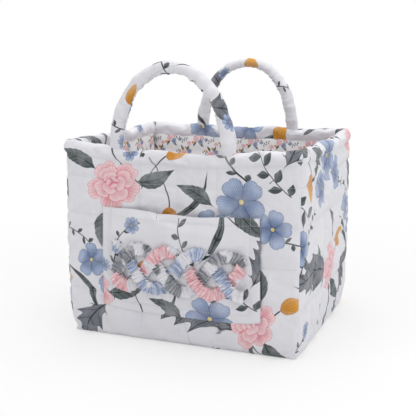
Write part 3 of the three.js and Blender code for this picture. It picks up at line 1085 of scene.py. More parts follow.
def puckers(wall, sizes, share, run, height, row):
    """Small wrinkles that cross the rows of quilting and the rim's stitching, about 1 either way."""
    from_line, from_row = from_quilting(wall, sizes, share, row, (*QUILT_ROWS, FACE_ROWS))
    upright = soft_waves(np.column_stack((PUCKER_STRETCH * run, height)), PUCKER_WAVE, 130 + wall.turn)
    level = soft_waves(np.column_stack((run, PUCKER_STRETCH * height)), PUCKER_WAVE, 131 + wall.turn)
    inner = np.clip((1 - np.abs(share)) * half_length(wall, sizes) / PUCKER_FROM_CORNER, 0, 1)
    return inner * (bell(from_line, PUCKER_REACH) * upright + bell(from_row, PUCKER_REACH) * level)


def over_pocket(sizes, along, height, margin):
    """Which points of the front lie under the pocket."""
    bottom = sizes.pocket_bottom + POCKET_RAISE
    return ((np.abs(along - POCKET_ASIDE) < sizes.pocket_width / 2 - margin) & (height > bottom + margin)
            & (height < bottom + sizes.pocket_height - 2 * margin))


def belly(sizes, sewing, along, half, height):
    """How far a wall bellies out between its edges; what is sewn on a wall follows it."""
    low = sizes.bottom_round
    climb = np.clip((height - low) / (sizes.height - sizes.rim_band - low), 0, 1)
    foot = np.clip(climb / BELLY_FOOT, 0, 1)
    inner = np.clip(1 - (along / half) ** 2, 0, 1)
    rise = BELLY_ROUND * np.sin(math.pi * climb) + BELLY_EVEN * foot**2 * (3 - 2 * foot)
    return sewing.swell * (BELLY_CORNER + (1 - BELLY_CORNER) * inner) * rise


def make_wall(wall, sizes, sewing):
    """One laid wall, with the points that its sewing holds."""
    columns = WALL_COLUMNS * wall.squares
    piece, column, row = new_cloth(wall.name + "_wall", columns, LAST_ROW)
    share = 2 * column / columns - 1
    depth, height, cloth = wall_section(wall, sizes, share, row)
    along, _, run = corner_shape(wall, sizes, share)
    half = half_length(wall, sizes)
    face = (row >= EDGE_ROWS) & (row < STITCH_ROW)
    depth = depth + quilt_valley(wall, sizes, sewing, share, row)
    depth = depth + RIM_STITCH_PULL * bell(row - STITCH_ROW, RIM_STITCH_ROWS)
    inner = np.clip(1 - (along / half) ** 2, 0, 1) * np.clip(height / UNEVEN_FROM, 0, 1)
    uneven = UNEVEN_DEPTH * soft_waves(np.column_stack((run, height)), UNEVEN_WAVE, 20 + wall.turn)
    depth = depth - np.where(face, inner * uneven, 0)
    stretched = (row > EDGE_ROWS) & (row < STITCH_ROW + ROLL_ROWS / 2)
    depth = depth + np.where(stretched, PUCKER_DEPTH * puckers(wall, sizes, share, run, height, row), 0)
    fade = np.where(row >= EDGE_ROWS, 1 - np.clip((row - STITCH_ROW) / ROLL_ROWS, 0, 1), 0)
    depth = depth - fade * belly(sizes, sewing, along, half, height)
    points = place_on_wall(wall, sizes, share, depth, height)
    lay(piece, points, np.column_stack((run, cloth)) + np.array(wall.print_at))
    held = on_quilting(column, row) | (column == 0) | (column == columns)
    held |= (row <= 1) | (row >= INNER_ROW) | (row == STITCH_ROW)
    if wall.name == "front":
        held |= face & over_pocket(sizes, along, height, POCKET_MARGIN)
    return piece, held


class BASKET_OT_walls(bpy.types.Operator):
    """Make the four quilted walls with their rolled rims"""

    bl_idname = "basket.walls"
    bl_label = "Quilted Walls"

    def execute(self, context):
        sizes = context.scene.basket_sizes
        sewing = context.scene.basket_sewing
        made = [make_wall(wall, sizes, sewing) for wall in WALLS]
        settle(made, sewing, WALL_TRAVEL)
        for wall, (piece, _) in zip(WALLS, made):
            close_tube(piece)
            dress(piece, "Printed cotton")
            layers = ("outer_panel", "wadding", "rim_roll")
            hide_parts(*[f"{wall.name}_{layer}" for layer in layers])
        return {"FINISHED"}


# The lining and the base

# The lining's points, its cloth, the gap at its seams, and how it settles
LINING_COLUMNS = 12
LINING_ROWS = 54
LINING_FABRIC = 0.5 * MM
LINING_GAP = 0.15 * MM
LINING_TRAVEL = 2.0 * MM
LINING_SLACK = 0.7
# How far the lining stands off the wall, is tucked in at its top, goes up behind the facing, and is
# pulled in by its sewing
LINING_STAND = 0.3 * MM
LINING_TUCK = 0.9 * MM
LINING_UNDER_FACING = 0.8 * MM
LINING_PULL = 0.5 * MM
LINING_PULL_REACH = 1.2
LINING_PRINT = 1.7
# The lining's floor: its height, its points, and the points from one row of sewing to the next
BASE_TOP = 8.2 * MM
FLOOR_COLUMNS = 60
FLOOR_ROWS = 50
FLOOR_SQUARE = (12, 10)
FLOOR_PRINT = 0.411
# The padded base: its points, the points from one row of quilting to the next, and how that pulls
BASE_COLUMNS = 96
BASE_ROWS = 80
BASE_SQUARE = 16
BASE_GAP = 0.3 * MM
BASE_FABRIC = 4.6 * MM
BASE_PULL = 0.7 * MM
BASE_PULL_REACH = 1.1
BASE_EDGE_PULL = 0.9 * MM
BASE_EDGE_REACH = 3 * MM
BASE_PRINT = 0.333


def make_lining(wall, sizes):
    """One laid panel of the lining, whose face looks into the basket, with the points its sewing holds."""
    columns = LINING_COLUMNS * wall.squares
    piece, column, row = new_cloth(wall.name + "_lining_panel", columns, LINING_ROWS)
    share = 1 - 2 * column / columns
    top = rim_top(wall, sizes, share) - sizes.rim_band + LINING_UNDER_FACING
    height = BASE_TOP + row / LINING_ROWS * (top - BASE_TOP)
    tuck = LINING_TUCK * bell(LINING_ROWS - row, 1.0)
    from_line = from_uprights(wall, share) * LINING_COLUMNS
    lines = np.rint(np.array(QUILT_ROWS) * LINING_ROWS / FACE_ROWS)
    from_row = np.abs(row - lines[:, None]).min(axis=0)
    from_sewing = np.minimum(from_line, from_row)
    depth = sizes.wall + LINING_STAND - tuck - LINING_PULL * bell(from_sewing, LINING_PULL_REACH)
    along = share * (half_length(wall, sizes) - sizes.wall - LINING_GAP)
    print_at = np.array(wall.print_at) * LINING_PRINT
    lay(piece, to_basket(wall, sizes, along, depth, height), np.column_stack((-along, height)) + print_at)
    held = (from_sewing < 0.01) | (row == 0) | (row == LINING_ROWS) | (column == 0) | (column == columns)
    return piece, held


def make_base_lining(sizes):
    """The lining's laid floor, with the points that its sewing holds."""
    piece, column, row = new_cloth("base_lining_panel", FLOOR_COLUMNS, FLOOR_ROWS)
    x = (column / FLOOR_COLUMNS - 0.5) * (sizes.width - 2 * sizes.wall - 2 * LINING_GAP)
    y = (row / FLOOR_ROWS - 0.5) * (sizes.depth - 2 * sizes.wall - 2 * LINING_GAP)
    lay(piece, np.column_stack((x, y, np.full(len(x), BASE_TOP))), np.column_stack((x, y)) + FLOOR_PRINT)
    return piece, (column % FLOOR_SQUARE[0] == 0) | (row % FLOOR_SQUARE[1] == 0)


class BASKET_OT_lining(bpy.types.Operator):
    """Make the lining: four panels and a floor of small-flowered cotton"""

    bl_idname = "basket.lining"
    bl_label = "Lining"

    def execute(self, context):
        sizes = context.scene.basket_sizes
        sewing = context.scene.basket_sewing
        made = [make_lining(wall, sizes) for wall in WALLS] + [make_base_lining(sizes)]
        settle(made, sewing, LINING_TRAVEL, slack=LINING_SLACK)
        nodes = [wall.name + "_lining" for wall in WALLS] + ["base_lining"]
        under = [wall.name + "_wall" for wall in WALLS] + ["base_board"]
        tall = sizes.height - sizes.rim_band
        spans = [(2 * half_length(wall, sizes) - 2 * sizes.wall, tall) for wall in WALLS]
        spans.append((sizes.width - 2 * sizes.wall, sizes.depth - 2 * sizes.wall))
        for (piece, _), node, carrier, span in zip(made, nodes, under, spans):
            refine(piece)
            thicken(piece, LINING_FABRIC)
            dress(piece, "Lining cotton")
            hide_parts(node)
        return {"FINISHED"}


class BASKET_OT_base(bpy.types.Operator):
    """Make the padded base, and finish the board over it"""

    bl_idname = "basket.base"
    bl_label = "Base"

    def execute(self, context):
        sizes = context.scene.basket_sizes
        piece, column, row = new_cloth("base_pad", BASE_COLUMNS, BASE_ROWS)
        half_x = sizes.width / 2 - sizes.bottom_round - BASE_GAP
        half_y = sizes.depth / 2 - sizes.bottom_round - BASE_GAP
        x = (1 - 2 * column / BASE_COLUMNS) * half_x
        y = (2 * row / BASE_ROWS - 1) * half_y
        edge = np.minimum(half_x - np.abs(x), half_y - np.abs(y))
        half_square = BASE_SQUARE // 2
        lines = [np.abs((line + half_square) % BASE_SQUARE - half_square) for line in (column, row)]
        pull = BASE_PULL * bell(np.minimum(*lines), BASE_PULL_REACH)
        pull = pull + BASE_EDGE_PULL * bell(edge, BASE_EDGE_REACH)
        lay(piece, np.column_stack((x, y, pull)), np.column_stack((-x, y)) + BASE_PRINT)
        refine(piece)
        thicken(piece, BASE_FABRIC)
        dress(piece, "Printed cotton")
        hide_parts("base_outer_panel", "base_wadding")
        cover(frame["nodes"]["base_board"], "Pulp board")
        return {"FINISHED"}


# The pocket and its ruching

# The pocket's points, its cloth, how far it stands off the wall and may settle, and where its print starts
POCKET_COLUMNS = 84
POCKET_ROWS = 56
POCKET_FABRIC = 0.8 * MM
POCKET_STAND = 1.7 * MM
POCKET_TRAVEL = 3.0 * MM
POCKET_PRINT = (0.160, 0.025)
POCKET_MARGIN = 2 * MM
# How the cloth settles on the pocket, as shares of the walls' spare cloth and filling
POCKET_SLACK = 1.2
POCKET_PRESSURE = 0.15
POCKET_BEND = 0.8
# How the pocket is sewn on a little off its marks, its lower corners pulled up
POCKET_ASIDE = 2.4 * MM
POCKET_RAISE = 2.8 * MM
POCKET_CORNER_PULL = 4.0 * MM
POCKET_CORNER_POWER = 6
# Its cut is wider below, its mouth is uneven, and its folded edges and topstitching lie lower
POCKET_WIDER = 0.02
MOUTH_WAVE = 60 * MM
MOUTH_UNEVEN = 0.6 * MM
FOLD_DIP = 0.6 * MM
TOPSTITCH_DIP = 0.35 * MM
DIP_REACH = 1.6 * MM
HEM = 7.5 * MM
HEM_STEP = 0.5 * MM
# The backing: its cloth, the gap behind the face, and how much smaller it is
BACKING_FABRIC = 0.3 * MM
BACKING_GAP = 0.3 * MM
BACKING_RAISE = 1 * MM
BACKING_SHORTER = 3 * MM
BACKING_NARROWER = 2 * MM


def pocket_place(sizes, x, z):
    """Where a point of the pocket's cut comes to lie on the front."""
    climb = np.clip((z - sizes.pocket_bottom) / sizes.pocket_height, 0, 1)
    pull = POCKET_CORNER_PULL * np.abs(2 * x / sizes.pocket_width) ** POCKET_CORNER_POWER * (1 - climb)
    return x + POCKET_ASIDE, z + POCKET_RAISE + pull


def pocket_lift(sizes, x, z):
    """How far the pocket's face stands off inside its topstitching, most at the mouth."""
    half = sizes.pocket_width / 2 - sizes.pocket_border
    low = sizes.pocket_bottom + sizes.pocket_border
    tall = sizes.pocket_height - sizes.pocket_border
    side = np.clip(1 - (np.abs(x) / half) ** 2, 0, 1)
    return sizes.pocket_gape * side * np.sin(math.pi / 2 * np.clip((z - low) / tall, 0, 1))


def pocket_front(sizes, sewing, x, z):
    """Where the pocket's face is, as a distance in front of the basket's middle."""
    out = sizes.depth / 2 + belly(sizes, sewing, x, sizes.width / 2, z)
    return out + POCKET_STAND + pocket_lift(sizes, x, z)


def make_pocket_cloth(name, sizes, sewing):
    """A laid pocket piece, with the points that its sewing holds."""
    piece, column, row = new_cloth(name, POCKET_COLUMNS, POCKET_ROWS)
    climb = row / POCKET_ROWS
    x = (column / POCKET_COLUMNS - 0.5) * sizes.pocket_width * (1 + POCKET_WIDER - POCKET_WIDER * climb)
    uneven = MOUTH_UNEVEN * soft_waves(np.column_stack((x, climb)), MOUTH_WAVE, 61)
    z = sizes.pocket_bottom + climb * sizes.pocket_height + uneven * climb
    edge = np.minimum(sizes.pocket_width / 2 - np.abs(x), z - sizes.pocket_bottom)
    sewn_x, sewn_z = pocket_place(sizes, x, z)
    out = pocket_front(sizes, sewing, sewn_x, sewn_z) - FOLD_DIP * bell(edge, DIP_REACH)
    out = out - TOPSTITCH_DIP * bell(edge - sizes.pocket_border, DIP_REACH)
    out = out + HEM_STEP * (z > sizes.pocket_bottom + sizes.pocket_height - HEM)
    lay(piece, np.column_stack((sewn_x, -out, sewn_z)), np.column_stack((x, z)) + POCKET_PRINT)
    return piece, edge < sizes.pocket_border


class BASKET_OT_pocket(bpy.types.Operator):
    """Make the patch pocket with its hemmed mouth, and its backing"""

    bl_idname = "basket.pocket"
    bl_label = "Pocket"

    def execute(self, context):
        sizes = context.scene.basket_sizes
        sewing = context.scene.basket_sewing
        face, held = make_pocket_cloth("pocket_front", sizes, sewing)
        settle([(face, held)], sewing, POCKET_TRAVEL, POCKET_SLACK, POCKET_PRESSURE, POCKET_BEND)
        backing, _ = make_pocket_cloth("pocket_lining", sizes, sewing)
        behind = points_of(face)
        low = sizes.pocket_bottom
        shorter = 1 - BACKING_SHORTER / sizes.pocket_height
        behind[:, 0] *= 1 - BACKING_NARROWER / sizes.pocket_width
        behind[:, 1] += POCKET_FABRIC + BACKING_GAP
        behind[:, 2] = low + BACKING_RAISE + (behind[:, 2] - low) * shorter
        set_points(backing, behind)
        for piece, fabric, material, slot, node in (
            (face, POCKET_FABRIC, "Printed cotton", "printed_cotton", "pocket_face"),
            (backing, BACKING_FABRIC, "Lining cotton", "lining_cotton", "pocket_backing"),
        ):
            refine(piece)
            thicken(piece, fabric)
            dress(piece, material)
            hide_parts(node)
        return {"FINISHED"}


# The strips' width, cloth and points
RUCHE_WIDTH = 13 * MM
RUCHE_FABRIC = 0.45 * MM
RUCHE_STEPS = 420
RUCHE_ACROSS = 16
LINE_STEPS = 2000
RUCHED_STRIPS = ("blue", "pink", "grey")
# The plait's length and height on the pocket, its strips' swing, and how far they pass over each other
PLAIT_LENGTH = 138 * MM
PLAIT_WAVE = 92 * MM
PLAIT_SWING = 20 * MM
PLAIT_HEIGHT = 81.5 * MM
PLAIT_LIFT = 2.309 * MM
PLAIT_STAND = 0.9 * MM
# The gathers: from fold to fold, their height and its bounds, and their lean
FOLD = 3.9 * MM
FOLD_HEIGHT = 1.55 * MM
FOLD_LEAST = 0.2 * MM
FOLD_MOST = 3.6 * MM
FOLD_LEAN = 0.75 * MM
# Shares of that height: what a valley keeps, and what a ridge adds in the middle and more at the edges
FOLD_VALLEY = 0.4
FOLD_MIDDLE = 0.85
FOLD_EDGE = 0.60
FOLD_EDGE_POWER = 1.4
FOLD_ROUND = 0.8
# The dip along the row of stitches in the middle, and the print on gathered cloth
GATHER_DIP = 0.5 * MM
GATHER_REACH = 0.13
GATHER_PRINT = 1.9
STRIP_PRINT = 0.05
# Unevenness of the gathers along and across a strip, and of its edges
GATHER_ACROSS = 5 * MM
DRIFT = 1.3
DRIFT_WAVE = 30 * MM
WANDER = 0.9
VARY = 0.35
GATHER_WAVE = 13 * MM
FLUTTER = 0.13
FLUTTER_LAG = 1.1
EDGE_UNEVEN = 0.06
EDGE_WAVE = 8 * MM


def plait_line(number, x):
    """Height of a strip's middle line, its slope, and how far it passes over the others."""
    turn = math.tau * (x / PLAIT_WAVE + number / len(RUCHED_STRIPS))
    slope = PLAIT_SWING * math.tau / PLAIT_WAVE * np.cos(turn)
    return PLAIT_HEIGHT + PLAIT_SWING * np.sin(turn), slope, PLAIT_LIFT * (1 + np.sin(2 * turn))


def make_ruched_strip(number, name, sizes, sewing):
    """A gathered strip, and its length: folds cross it unevenly, and its edges flutter."""
    piece, column, row = new_cloth(name + "_ruching", RUCHE_STEPS, RUCHE_ACROSS)
    fine = np.linspace(-PLAIT_LENGTH / 2, PLAIT_LENGTH / 2, LINE_STEPS)
    run_to = length_along(np.column_stack((fine, plait_line(number, fine)[0])))
    run = column / RUCHE_STEPS * run_to[-1]
    x = np.interp(run, run_to, fine)
    z, slope, over = plait_line(number, x)
    tangent = np.column_stack((np.ones(len(x)), slope)) / np.hypot(1, slope)[:, None]
    across = 1 - 2 * row / RUCHE_ACROSS
    rim = np.abs(across)
    places = np.column_stack((run, across * GATHER_ACROSS))
    drift = DRIFT * soft_waves(places, DRIFT_WAVE, 70 + number)
    wander = WANDER * soft_waves(places, GATHER_WAVE, 80 + number)
    phase = math.tau * run / FOLD + drift + wander * rim
    ridge = np.abs(np.sin(phase / 2)) ** FOLD_ROUND
    vary = 1 + VARY * soft_waves(places, GATHER_WAVE, 90 + number)
    added = FOLD_MIDDLE + FOLD_EDGE * rim**FOLD_EDGE_POWER
    tall = (FOLD_VALLEY + added * ridge * vary) * FOLD_HEIGHT
    tall = np.clip(tall - GATHER_DIP * bell(across, GATHER_REACH), FOLD_LEAST, FOLD_MOST)
    uneven = EDGE_UNEVEN * soft_waves(places, EDGE_WAVE, 95 + number)
    flutter = 1 + FLUTTER * rim * np.sin(phase + FLUTTER_LAG) + uneven
    lean = FOLD_LEAN * np.cos(phase) * rim
    side = across * RUCHE_WIDTH / 2 * flutter
    sewn_x = x - tangent[:, 1] * side + tangent[:, 0] * lean + POCKET_ASIDE
    sewn_z = z + tangent[:, 0] * side + tangent[:, 1] * lean
    out = pocket_front(sizes, sewing, x + POCKET_ASIDE, z) + PLAIT_STAND + over + tall
    cloth = np.column_stack((run * GATHER_PRINT, side)) + STRIP_PRINT * number
    lay(piece, np.column_stack((sewn_x, -out, sewn_z)), cloth)
    return piece, run_to[-1]


class BASKET_OT_ruching(bpy.types.Operator):
    """Make the three gathered strips that are plaited across the pocket"""

    bl_idname = "basket.ruching"
    bl_label = "Ruched Strips"

    def execute(self, context):
        sizes = context.scene.basket_sizes
        sewing = context.scene.basket_sewing
        for number, name in enumerate(RUCHED_STRIPS):
            piece, run = make_ruched_strip(number, name, sizes, sewing)
            thicken(piece, RUCHE_FABRIC)
            dress(piece, name.capitalize() + " print")
            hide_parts(name + "_ruched_strip")
        return {"FINISHED"}


# The handles

# A handle's points, the length of its tails, the lean of its legs, and how its thickness grows to the feet
HANDLE_RINGS = 250
HANDLE_SIDES = 30
HANDLE_TAIL = 13 * MM
HANDLE_LEAN = 0.85
HANDLE_SWELL = 1.6
ARCH_STEPS = 900
TAIL_STEPS = 60
SOLID_RADIUS = 7 * MM
# A handle's filling is lumpy and its cloth creased; gathers cross its inner side above the feet
LUMP_WAVE = 30 * MM
LUMP_DEPTH = 0.36 * MM
CREASE_WAVE = 10 * MM
CREASE_DEPTH = 0.3 * MM
CREASE_STRETCH = (1, 0.4, 0.4)
GATHER = 5.2 * MM
GATHER_DEPTH = 1.0 * MM
GATHER_DRIFT = 1.9
GATHER_DRIFT_WAVE = 26 * MM
GATHER_VARY = 0.55
GATHER_VARY_WAVE = 21 * MM
GATHER_FROM = 12 * MM
GATHER_FADE = 14 * MM
GATHER_SPREAD = 1.6
GATHER_ROUND = 0.7
GATHER_MEAN = 0.55
# The seam along the inner side lies in a groove
SEAM_DEPTH = 0.9 * MM
SEAM_VARY = 0.5 * MM
SEAM_REACH = 0.16
# How flat and how narrow the foot is where it goes into the rim
FOOT_FLAT = 0.40
FOOT_NARROW = 0.90
FOOT_POWER = 1.3


def handle_line(handle):
    """A handle's middle line, from one foot down in the rim over the arch to the other, in even steps.

    Gives places, headings, the length run so far, and how far back the handle stands."""
    low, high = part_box(handle.name + "_handle_cover")
    middle, depth, axle = JOINTS[handle.name + "_handle_swing"]["pos_m"]
    half = (high.x - low.x) / 2 - SOLID_RADIUS - handle.narrower
    pull = 4 / 3 * (high.z - SOLID_RADIUS - axle)
    corners = np.array(((-half, 0), (-half * HANDLE_LEAN, pull), (half * HANDLE_LEAN, pull), (half, 0)))
    t = np.linspace(0, 1, ARCH_STEPS)[:, None]
    arch = np.hstack(((1 - t) ** 3, 3 * (1 - t) ** 2 * t, 3 * (1 - t) * t**2, t**3)) @ corners
    first = arch[1] - arch[0]
    down = np.linspace(HANDLE_TAIL, 0, TAIL_STEPS)[:-1, None]
    left = arch[0] - first / np.linalg.norm(first) * down
    right = left[::-1] * (-1, 1)
    line = np.vstack((left, arch, right))
    run_to = length_along(line)
    run = np.linspace(0, run_to[-1], HANDLE_RINGS + 1)
    flat = np.column_stack([np.interp(run, run_to, line[:, i]) for i in (0, 1)])
    heading = np.gradient(flat, run, axis=0)
    heading /= np.linalg.norm(heading, axis=1, keepdims=True)
    return flat + (middle + handle.aside, axle), heading, run, depth


def handle_surface(handle, sizes, ring, angle):
    """Points on a stuffed handle; the angle is 0 outside the arch and half a turn on the sewn side."""
    flat, heading, run, depth = handle_line(handle)
    low = np.floor(ring).astype(int).clip(0, HANDLE_RINGS - 1)
    part = (ring - low)[:, None]
    middle = flat[low] * (1 - part) + flat[low + 1] * part
    ahead = heading[low] * (1 - part) + heading[low + 1] * part
    gone = run[-1] * ring / HANDLE_RINGS
    to_foot = np.minimum(gone, run[-1] - gone)
    share = np.abs(2 * gone / run[-1] - 1)
    radius = sizes.handle_crown + (sizes.handle_leg - sizes.handle_crown) * share**HANDLE_SWELL
    radius = radius * handle.thinner
    places = np.column_stack((gone, radius * np.cos(angle), radius * np.sin(angle)))
    radius = radius + LUMP_DEPTH * soft_waves(places, LUMP_WAVE, handle.seed)
    inner = ((1 - np.cos(angle)) / 2) ** GATHER_SPREAD
    drift = GATHER_DRIFT * soft_waves(places[:, :1], GATHER_DRIFT_WAVE, handle.seed + 1)
    phase = math.tau * gone / GATHER + drift
    strength = 1 + GATHER_VARY * soft_waves(places[:, :1], GATHER_VARY_WAVE, handle.seed + 3)
    crimp = (np.abs(np.sin(phase / 2)) ** GATHER_ROUND - GATHER_MEAN) * strength
    standing = np.clip((to_foot - GATHER_FROM) / GATHER_FADE, 0, 1)
    radius = radius + inner * crimp * GATHER_DEPTH * standing
    radius = radius + CREASE_DEPTH * soft_waves(places * CREASE_STRETCH, CREASE_WAVE, handle.seed + 2)
    from_seam = np.abs(np.abs(np.angle(np.exp(1j * angle))) - math.pi)
    radius = radius - (SEAM_DEPTH + SEAM_VARY * crimp) * bell(from_seam, SEAM_REACH) * standing
    tuck = np.clip(to_foot / HANDLE_TAIL, 0, 1)
    flatten = FOOT_FLAT + (1 - FOOT_FLAT) * tuck**FOOT_POWER
    across = radius * np.cos(angle) * (FOOT_NARROW + (1 - FOOT_NARROW) * tuck)
    points = np.column_stack((
        middle[:, 0] - ahead[:, 1] * across,
        depth + radius * np.sin(angle) * flatten,
        middle[:, 1] + ahead[:, 0] * across,
    ))
    return points, gone


def swing_with(piece):
    """Bakes a piece's placement into its points."""
    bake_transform(piece)


class BASKET_OT_handles(bpy.types.Operator):
    """Make the two stuffed handles, sewn along the inside of the arch"""

    bl_idname = "basket.handles"
    bl_label = "Handles"

    def execute(self, context):
        sizes = context.scene.basket_sizes
        for handle in HANDLES:
            piece, ring, side = new_cloth(handle.name + "_handle_tube", HANDLE_RINGS, HANDLE_SIDES)
            angle = math.pi + math.tau * side / HANDLE_SIDES
            points, gone = handle_surface(handle, sizes, ring, angle)
            cloth = np.column_stack((gone, angle * sizes.handle_leg)) + np.array(handle.print_at)
            lay(piece, points, cloth)
            close_tube(piece)
            dress(piece, "Printed cotton", body=None)
            nodes = ("cover", "core", "left_end", "right_end", "left_tail", "right_tail")
            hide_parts(*[f"{handle.name}_handle_{node}" for node in nodes])
            swing_with(piece)
        return {"FINISHED"}


# The stitching

# A stitch's share of the distance to the next one, and the share of its thread that sinks in
STITCH_LENGTH = 0.72
STITCH_SINK = 0.42
# How far rows stop short of a wall's ends, of its bottom edge and rim, and of the pocket's edges
ROW_STOP = 5 * MM
UPRIGHT_STOP = (3 * MM, 9 * MM)
HEM_STOP = 2 * MM
MOUTH_STOP = 1 * MM
# Hand stitches on the handles: from one to the next, where they start, and how far they stand off
HAND_STITCH = 5.2 * MM
HAND_STITCH_FROM = 27 * MM
HAND_STITCH_STAND = 0.25 * MM
HAND_STITCH_ALONG = 0.6
HAND_STITCH_ASIDE = (0, 0.8, 0)
# From how far off the seams are marked on walls, pocket and handles
WALL_CLEAR = 30 * MM
POCKET_CLEAR = 0.2
HANDLE_CLEAR = 20 * MM


def on_surface(piece, starts, headings):
    """Where rays from the starts first meet a piece, with its normals there."""
    tree = BVHTree.FromObject(piece, bpy.context.evaluated_depsgraph_get())
    hits = [tree.ray_cast(Vector(start), Vector(heading))
            for start, heading in zip(starts, np.broadcast_to(headings, starts.shape))]
    met = [(place, normal) for place, normal, _, _ in hits if place is not None]
    places = np.array([place for place, _ in met])
    normals = np.array([normal for _, normal in met])
    return places.reshape(-1, 3), normals.reshape(-1, 3)


def run_of_stitches(places, normals):
    """Middles, headings and normals of the stitches along a line of surface points."""
    ahead = np.gradient(places, axis=0)
    ahead /= np.linalg.norm(ahead, axis=1, keepdims=True)
    return np.hstack((places, ahead, normals))


def spaced(first, last, pitch):
    """Places from first to last, about a pitch apart."""
    count = max(2, round(abs(last - first) / pitch) + 1)
    return np.linspace(first, last, count)


def make_stitches(name, stitches, sewing):
    """Sewn stitches as one piece: a rounded length of thread, modelled once and copied along the seams."""
    bpy.ops.object.select_all(action="DESELECT")
    bpy.ops.mesh.primitive_uv_sphere_add(segments=6, ring_count=4, radius=0.5)
    piece = bpy.context.object
    piece.name = name
    thread = points_of(piece)[:, (2, 0, 1)]
    faces = [list(polygon.vertices) for polygon in piece.data.polygons]
    middle, ahead, normal = stitches[:, 0:3], stitches[:, 3:6], stitches[:, 6:9]
    side = np.cross(normal, ahead)
    middle = middle + normal * sewing.thread * (0.5 - STITCH_SINK)
    grown = thread * (sewing.stitch * STITCH_LENGTH, sewing.thread, sewing.thread)
    points = (middle[:, None, :] + grown[None, :, 0:1] * ahead[:, None, :]
              + grown[None, :, 1:2] * side[:, None, :] + grown[None, :, 2:3] * normal[:, None, :])
    copies = [[corner + len(thread) * copy for corner in face]
              for copy in range(len(stitches)) for face in faces]
    mesh = bpy.data.meshes.new(name)
    mesh.from_pydata(points.reshape(-1, 3).tolist(), [], copies)
    old = piece.data
    piece.data = mesh
    bpy.data.meshes.remove(old)
    activate(piece)
    bpy.ops.object.shade_smooth()
    return piece


def wall_seams(wall, sizes, sewing):
    """The stitches that show on one wall: its quilting and the row under its rim."""
    piece = bpy.data.objects[wall.name + "_wall"]
    half = half_length(wall, sizes)
    low = sizes.bottom_round
    outside, inside = to_basket(wall, sizes, np.zeros(2), np.array((0.0, 1.0)), np.zeros(2))
    span = spaced(ROW_STOP - half, half - ROW_STOP, sewing.stitch)
    rim = rim_top(wall, sizes, span / half) - sizes.rim_band
    lines = [(span, low + (rim - low) * row / FACE_ROWS) for row in (FACE_ROWS, *QUILT_ROWS)]
    high = sizes.height - sizes.rim_band
    climb = spaced(low + UPRIGHT_STOP[0], high - UPRIGHT_STOP[1], sewing.stitch)
    for square in range(1, wall.squares):
        share = np.full(len(climb), 2 * square / wall.squares - 1)
        lines.append((corner_shape(wall, sizes, share)[0], climb))
    rows = []
    for along, height in lines:
        if wall.name == "front":
            clear = ~over_pocket(sizes, along, height, -POCKET_MARGIN)
            along, height = along[clear], height[clear]
        starts = to_basket(wall, sizes, along, np.full(len(along), -WALL_CLEAR), height)
        rows.append(run_of_stitches(*on_surface(piece, starts, inside - outside)))
    return np.vstack(rows)


def pocket_seams(sizes, sewing):
    """The pocket's topstitching and the row that holds its hem."""
    piece = bpy.data.objects["pocket_front"]
    half = sizes.pocket_width / 2
    side = half - sizes.pocket_border
    low = sizes.pocket_bottom + sizes.pocket_border
    top = sizes.pocket_bottom + sizes.pocket_height
    up = spaced(low, top - MOUTH_STOP, sewing.stitch)
    level = spaced(-side, side, sewing.stitch)
    hem = spaced(HEM_STOP - half, half - HEM_STOP, sewing.stitch)
    rows = []
    for x, z in ((-side, up), (side, up), (level, low), (hem, top - HEM)):
        x, z = pocket_place(sizes, *np.broadcast_arrays(x, z))
        starts = np.column_stack((x, np.full(len(x), -POCKET_CLEAR), z))
        rows.append(run_of_stitches(*on_surface(piece, starts, (0, 1, 0))))
    return np.vstack(rows)


def handle_seam(handle):
    """The slanted hand stitches that close a handle along the inside of its arch."""
    flat, heading, run, depth = handle_line(handle)
    gone = spaced(HAND_STITCH_FROM, run[-1] - HAND_STITCH_FROM, HAND_STITCH)
    ring = np.rint(gone / run[-1] * HANDLE_RINGS).astype(int)
    none = np.zeros(len(ring))
    inward = np.column_stack((heading[ring, 1], none, -heading[ring, 0]))
    ahead = np.column_stack((heading[ring, 0], none, heading[ring, 1]))
    middles = np.column_stack((flat[ring, 0], none + depth, flat[ring, 1]))
    piece = bpy.data.objects[handle.name + "_handle_tube"]
    places, _ = on_surface(piece, middles + inward * HANDLE_CLEAR, -inward)
    slant = HAND_STITCH_ALONG * ahead + HAND_STITCH_ASIDE
    return np.hstack((places + inward * HAND_STITCH_STAND, slant, inward))


class BASKET_OT_stitching(bpy.types.Operator):
    """Sew the visible stitches: quilting, rims, pocket and handles"""

    bl_idname = "basket.stitching"
    bl_label = "Stitching"

    def execute(self, context):
        sizes = context.scene.basket_sizes
        sewing = context.scene.basket_sewing
        for wall in WALLS:
            piece = make_stitches(wall.name + "_quilting", wall_seams(wall, sizes, sewing), sewing)
            dress(piece, "Thread")
        piece = make_stitches("pocket_topstitching", pocket_seams(sizes, sewing), sewing)
        dress(piece, "Thread")
        for handle in HANDLES:
            piece = make_stitches(handle.name + "_handle_seam", handle_seam(handle), sewing)
            dress(piece, "Thread", body=None)
            swing_with(piece)
        return {"FINISHED"}


# The stage

CAMERA_LENS = 70.73
CAMERA_AZIMUTH = 21.08
CAMERA_ELEVATION = 11.47
CAMERA_DISTANCE = 0.9031
CAMERA_TARGET = (-0.0086, 0.0, 0.122)
# Each lamp: name, place, width and power; all point at the same place
LAMPS = (
    ("Key", (-0.70, -1.00, 1.25), 1.1, 4.75),
    ("Fill", (1.25, -0.45, 0.80), 1.2, 4.9),
    ("Top", (0.10, 0.20, 1.55), 1.3, 12.5),
)
LAMP_TARGET = (0, 0, 0.11)
STUDIO_RADIUS = 6
STUDIO_SHADE = (0.88, 0.88, 0.88)
# How fast the floor turns white with distance, and how white it is at the middle
STUDIO_FADE = (0.9, 0.45)


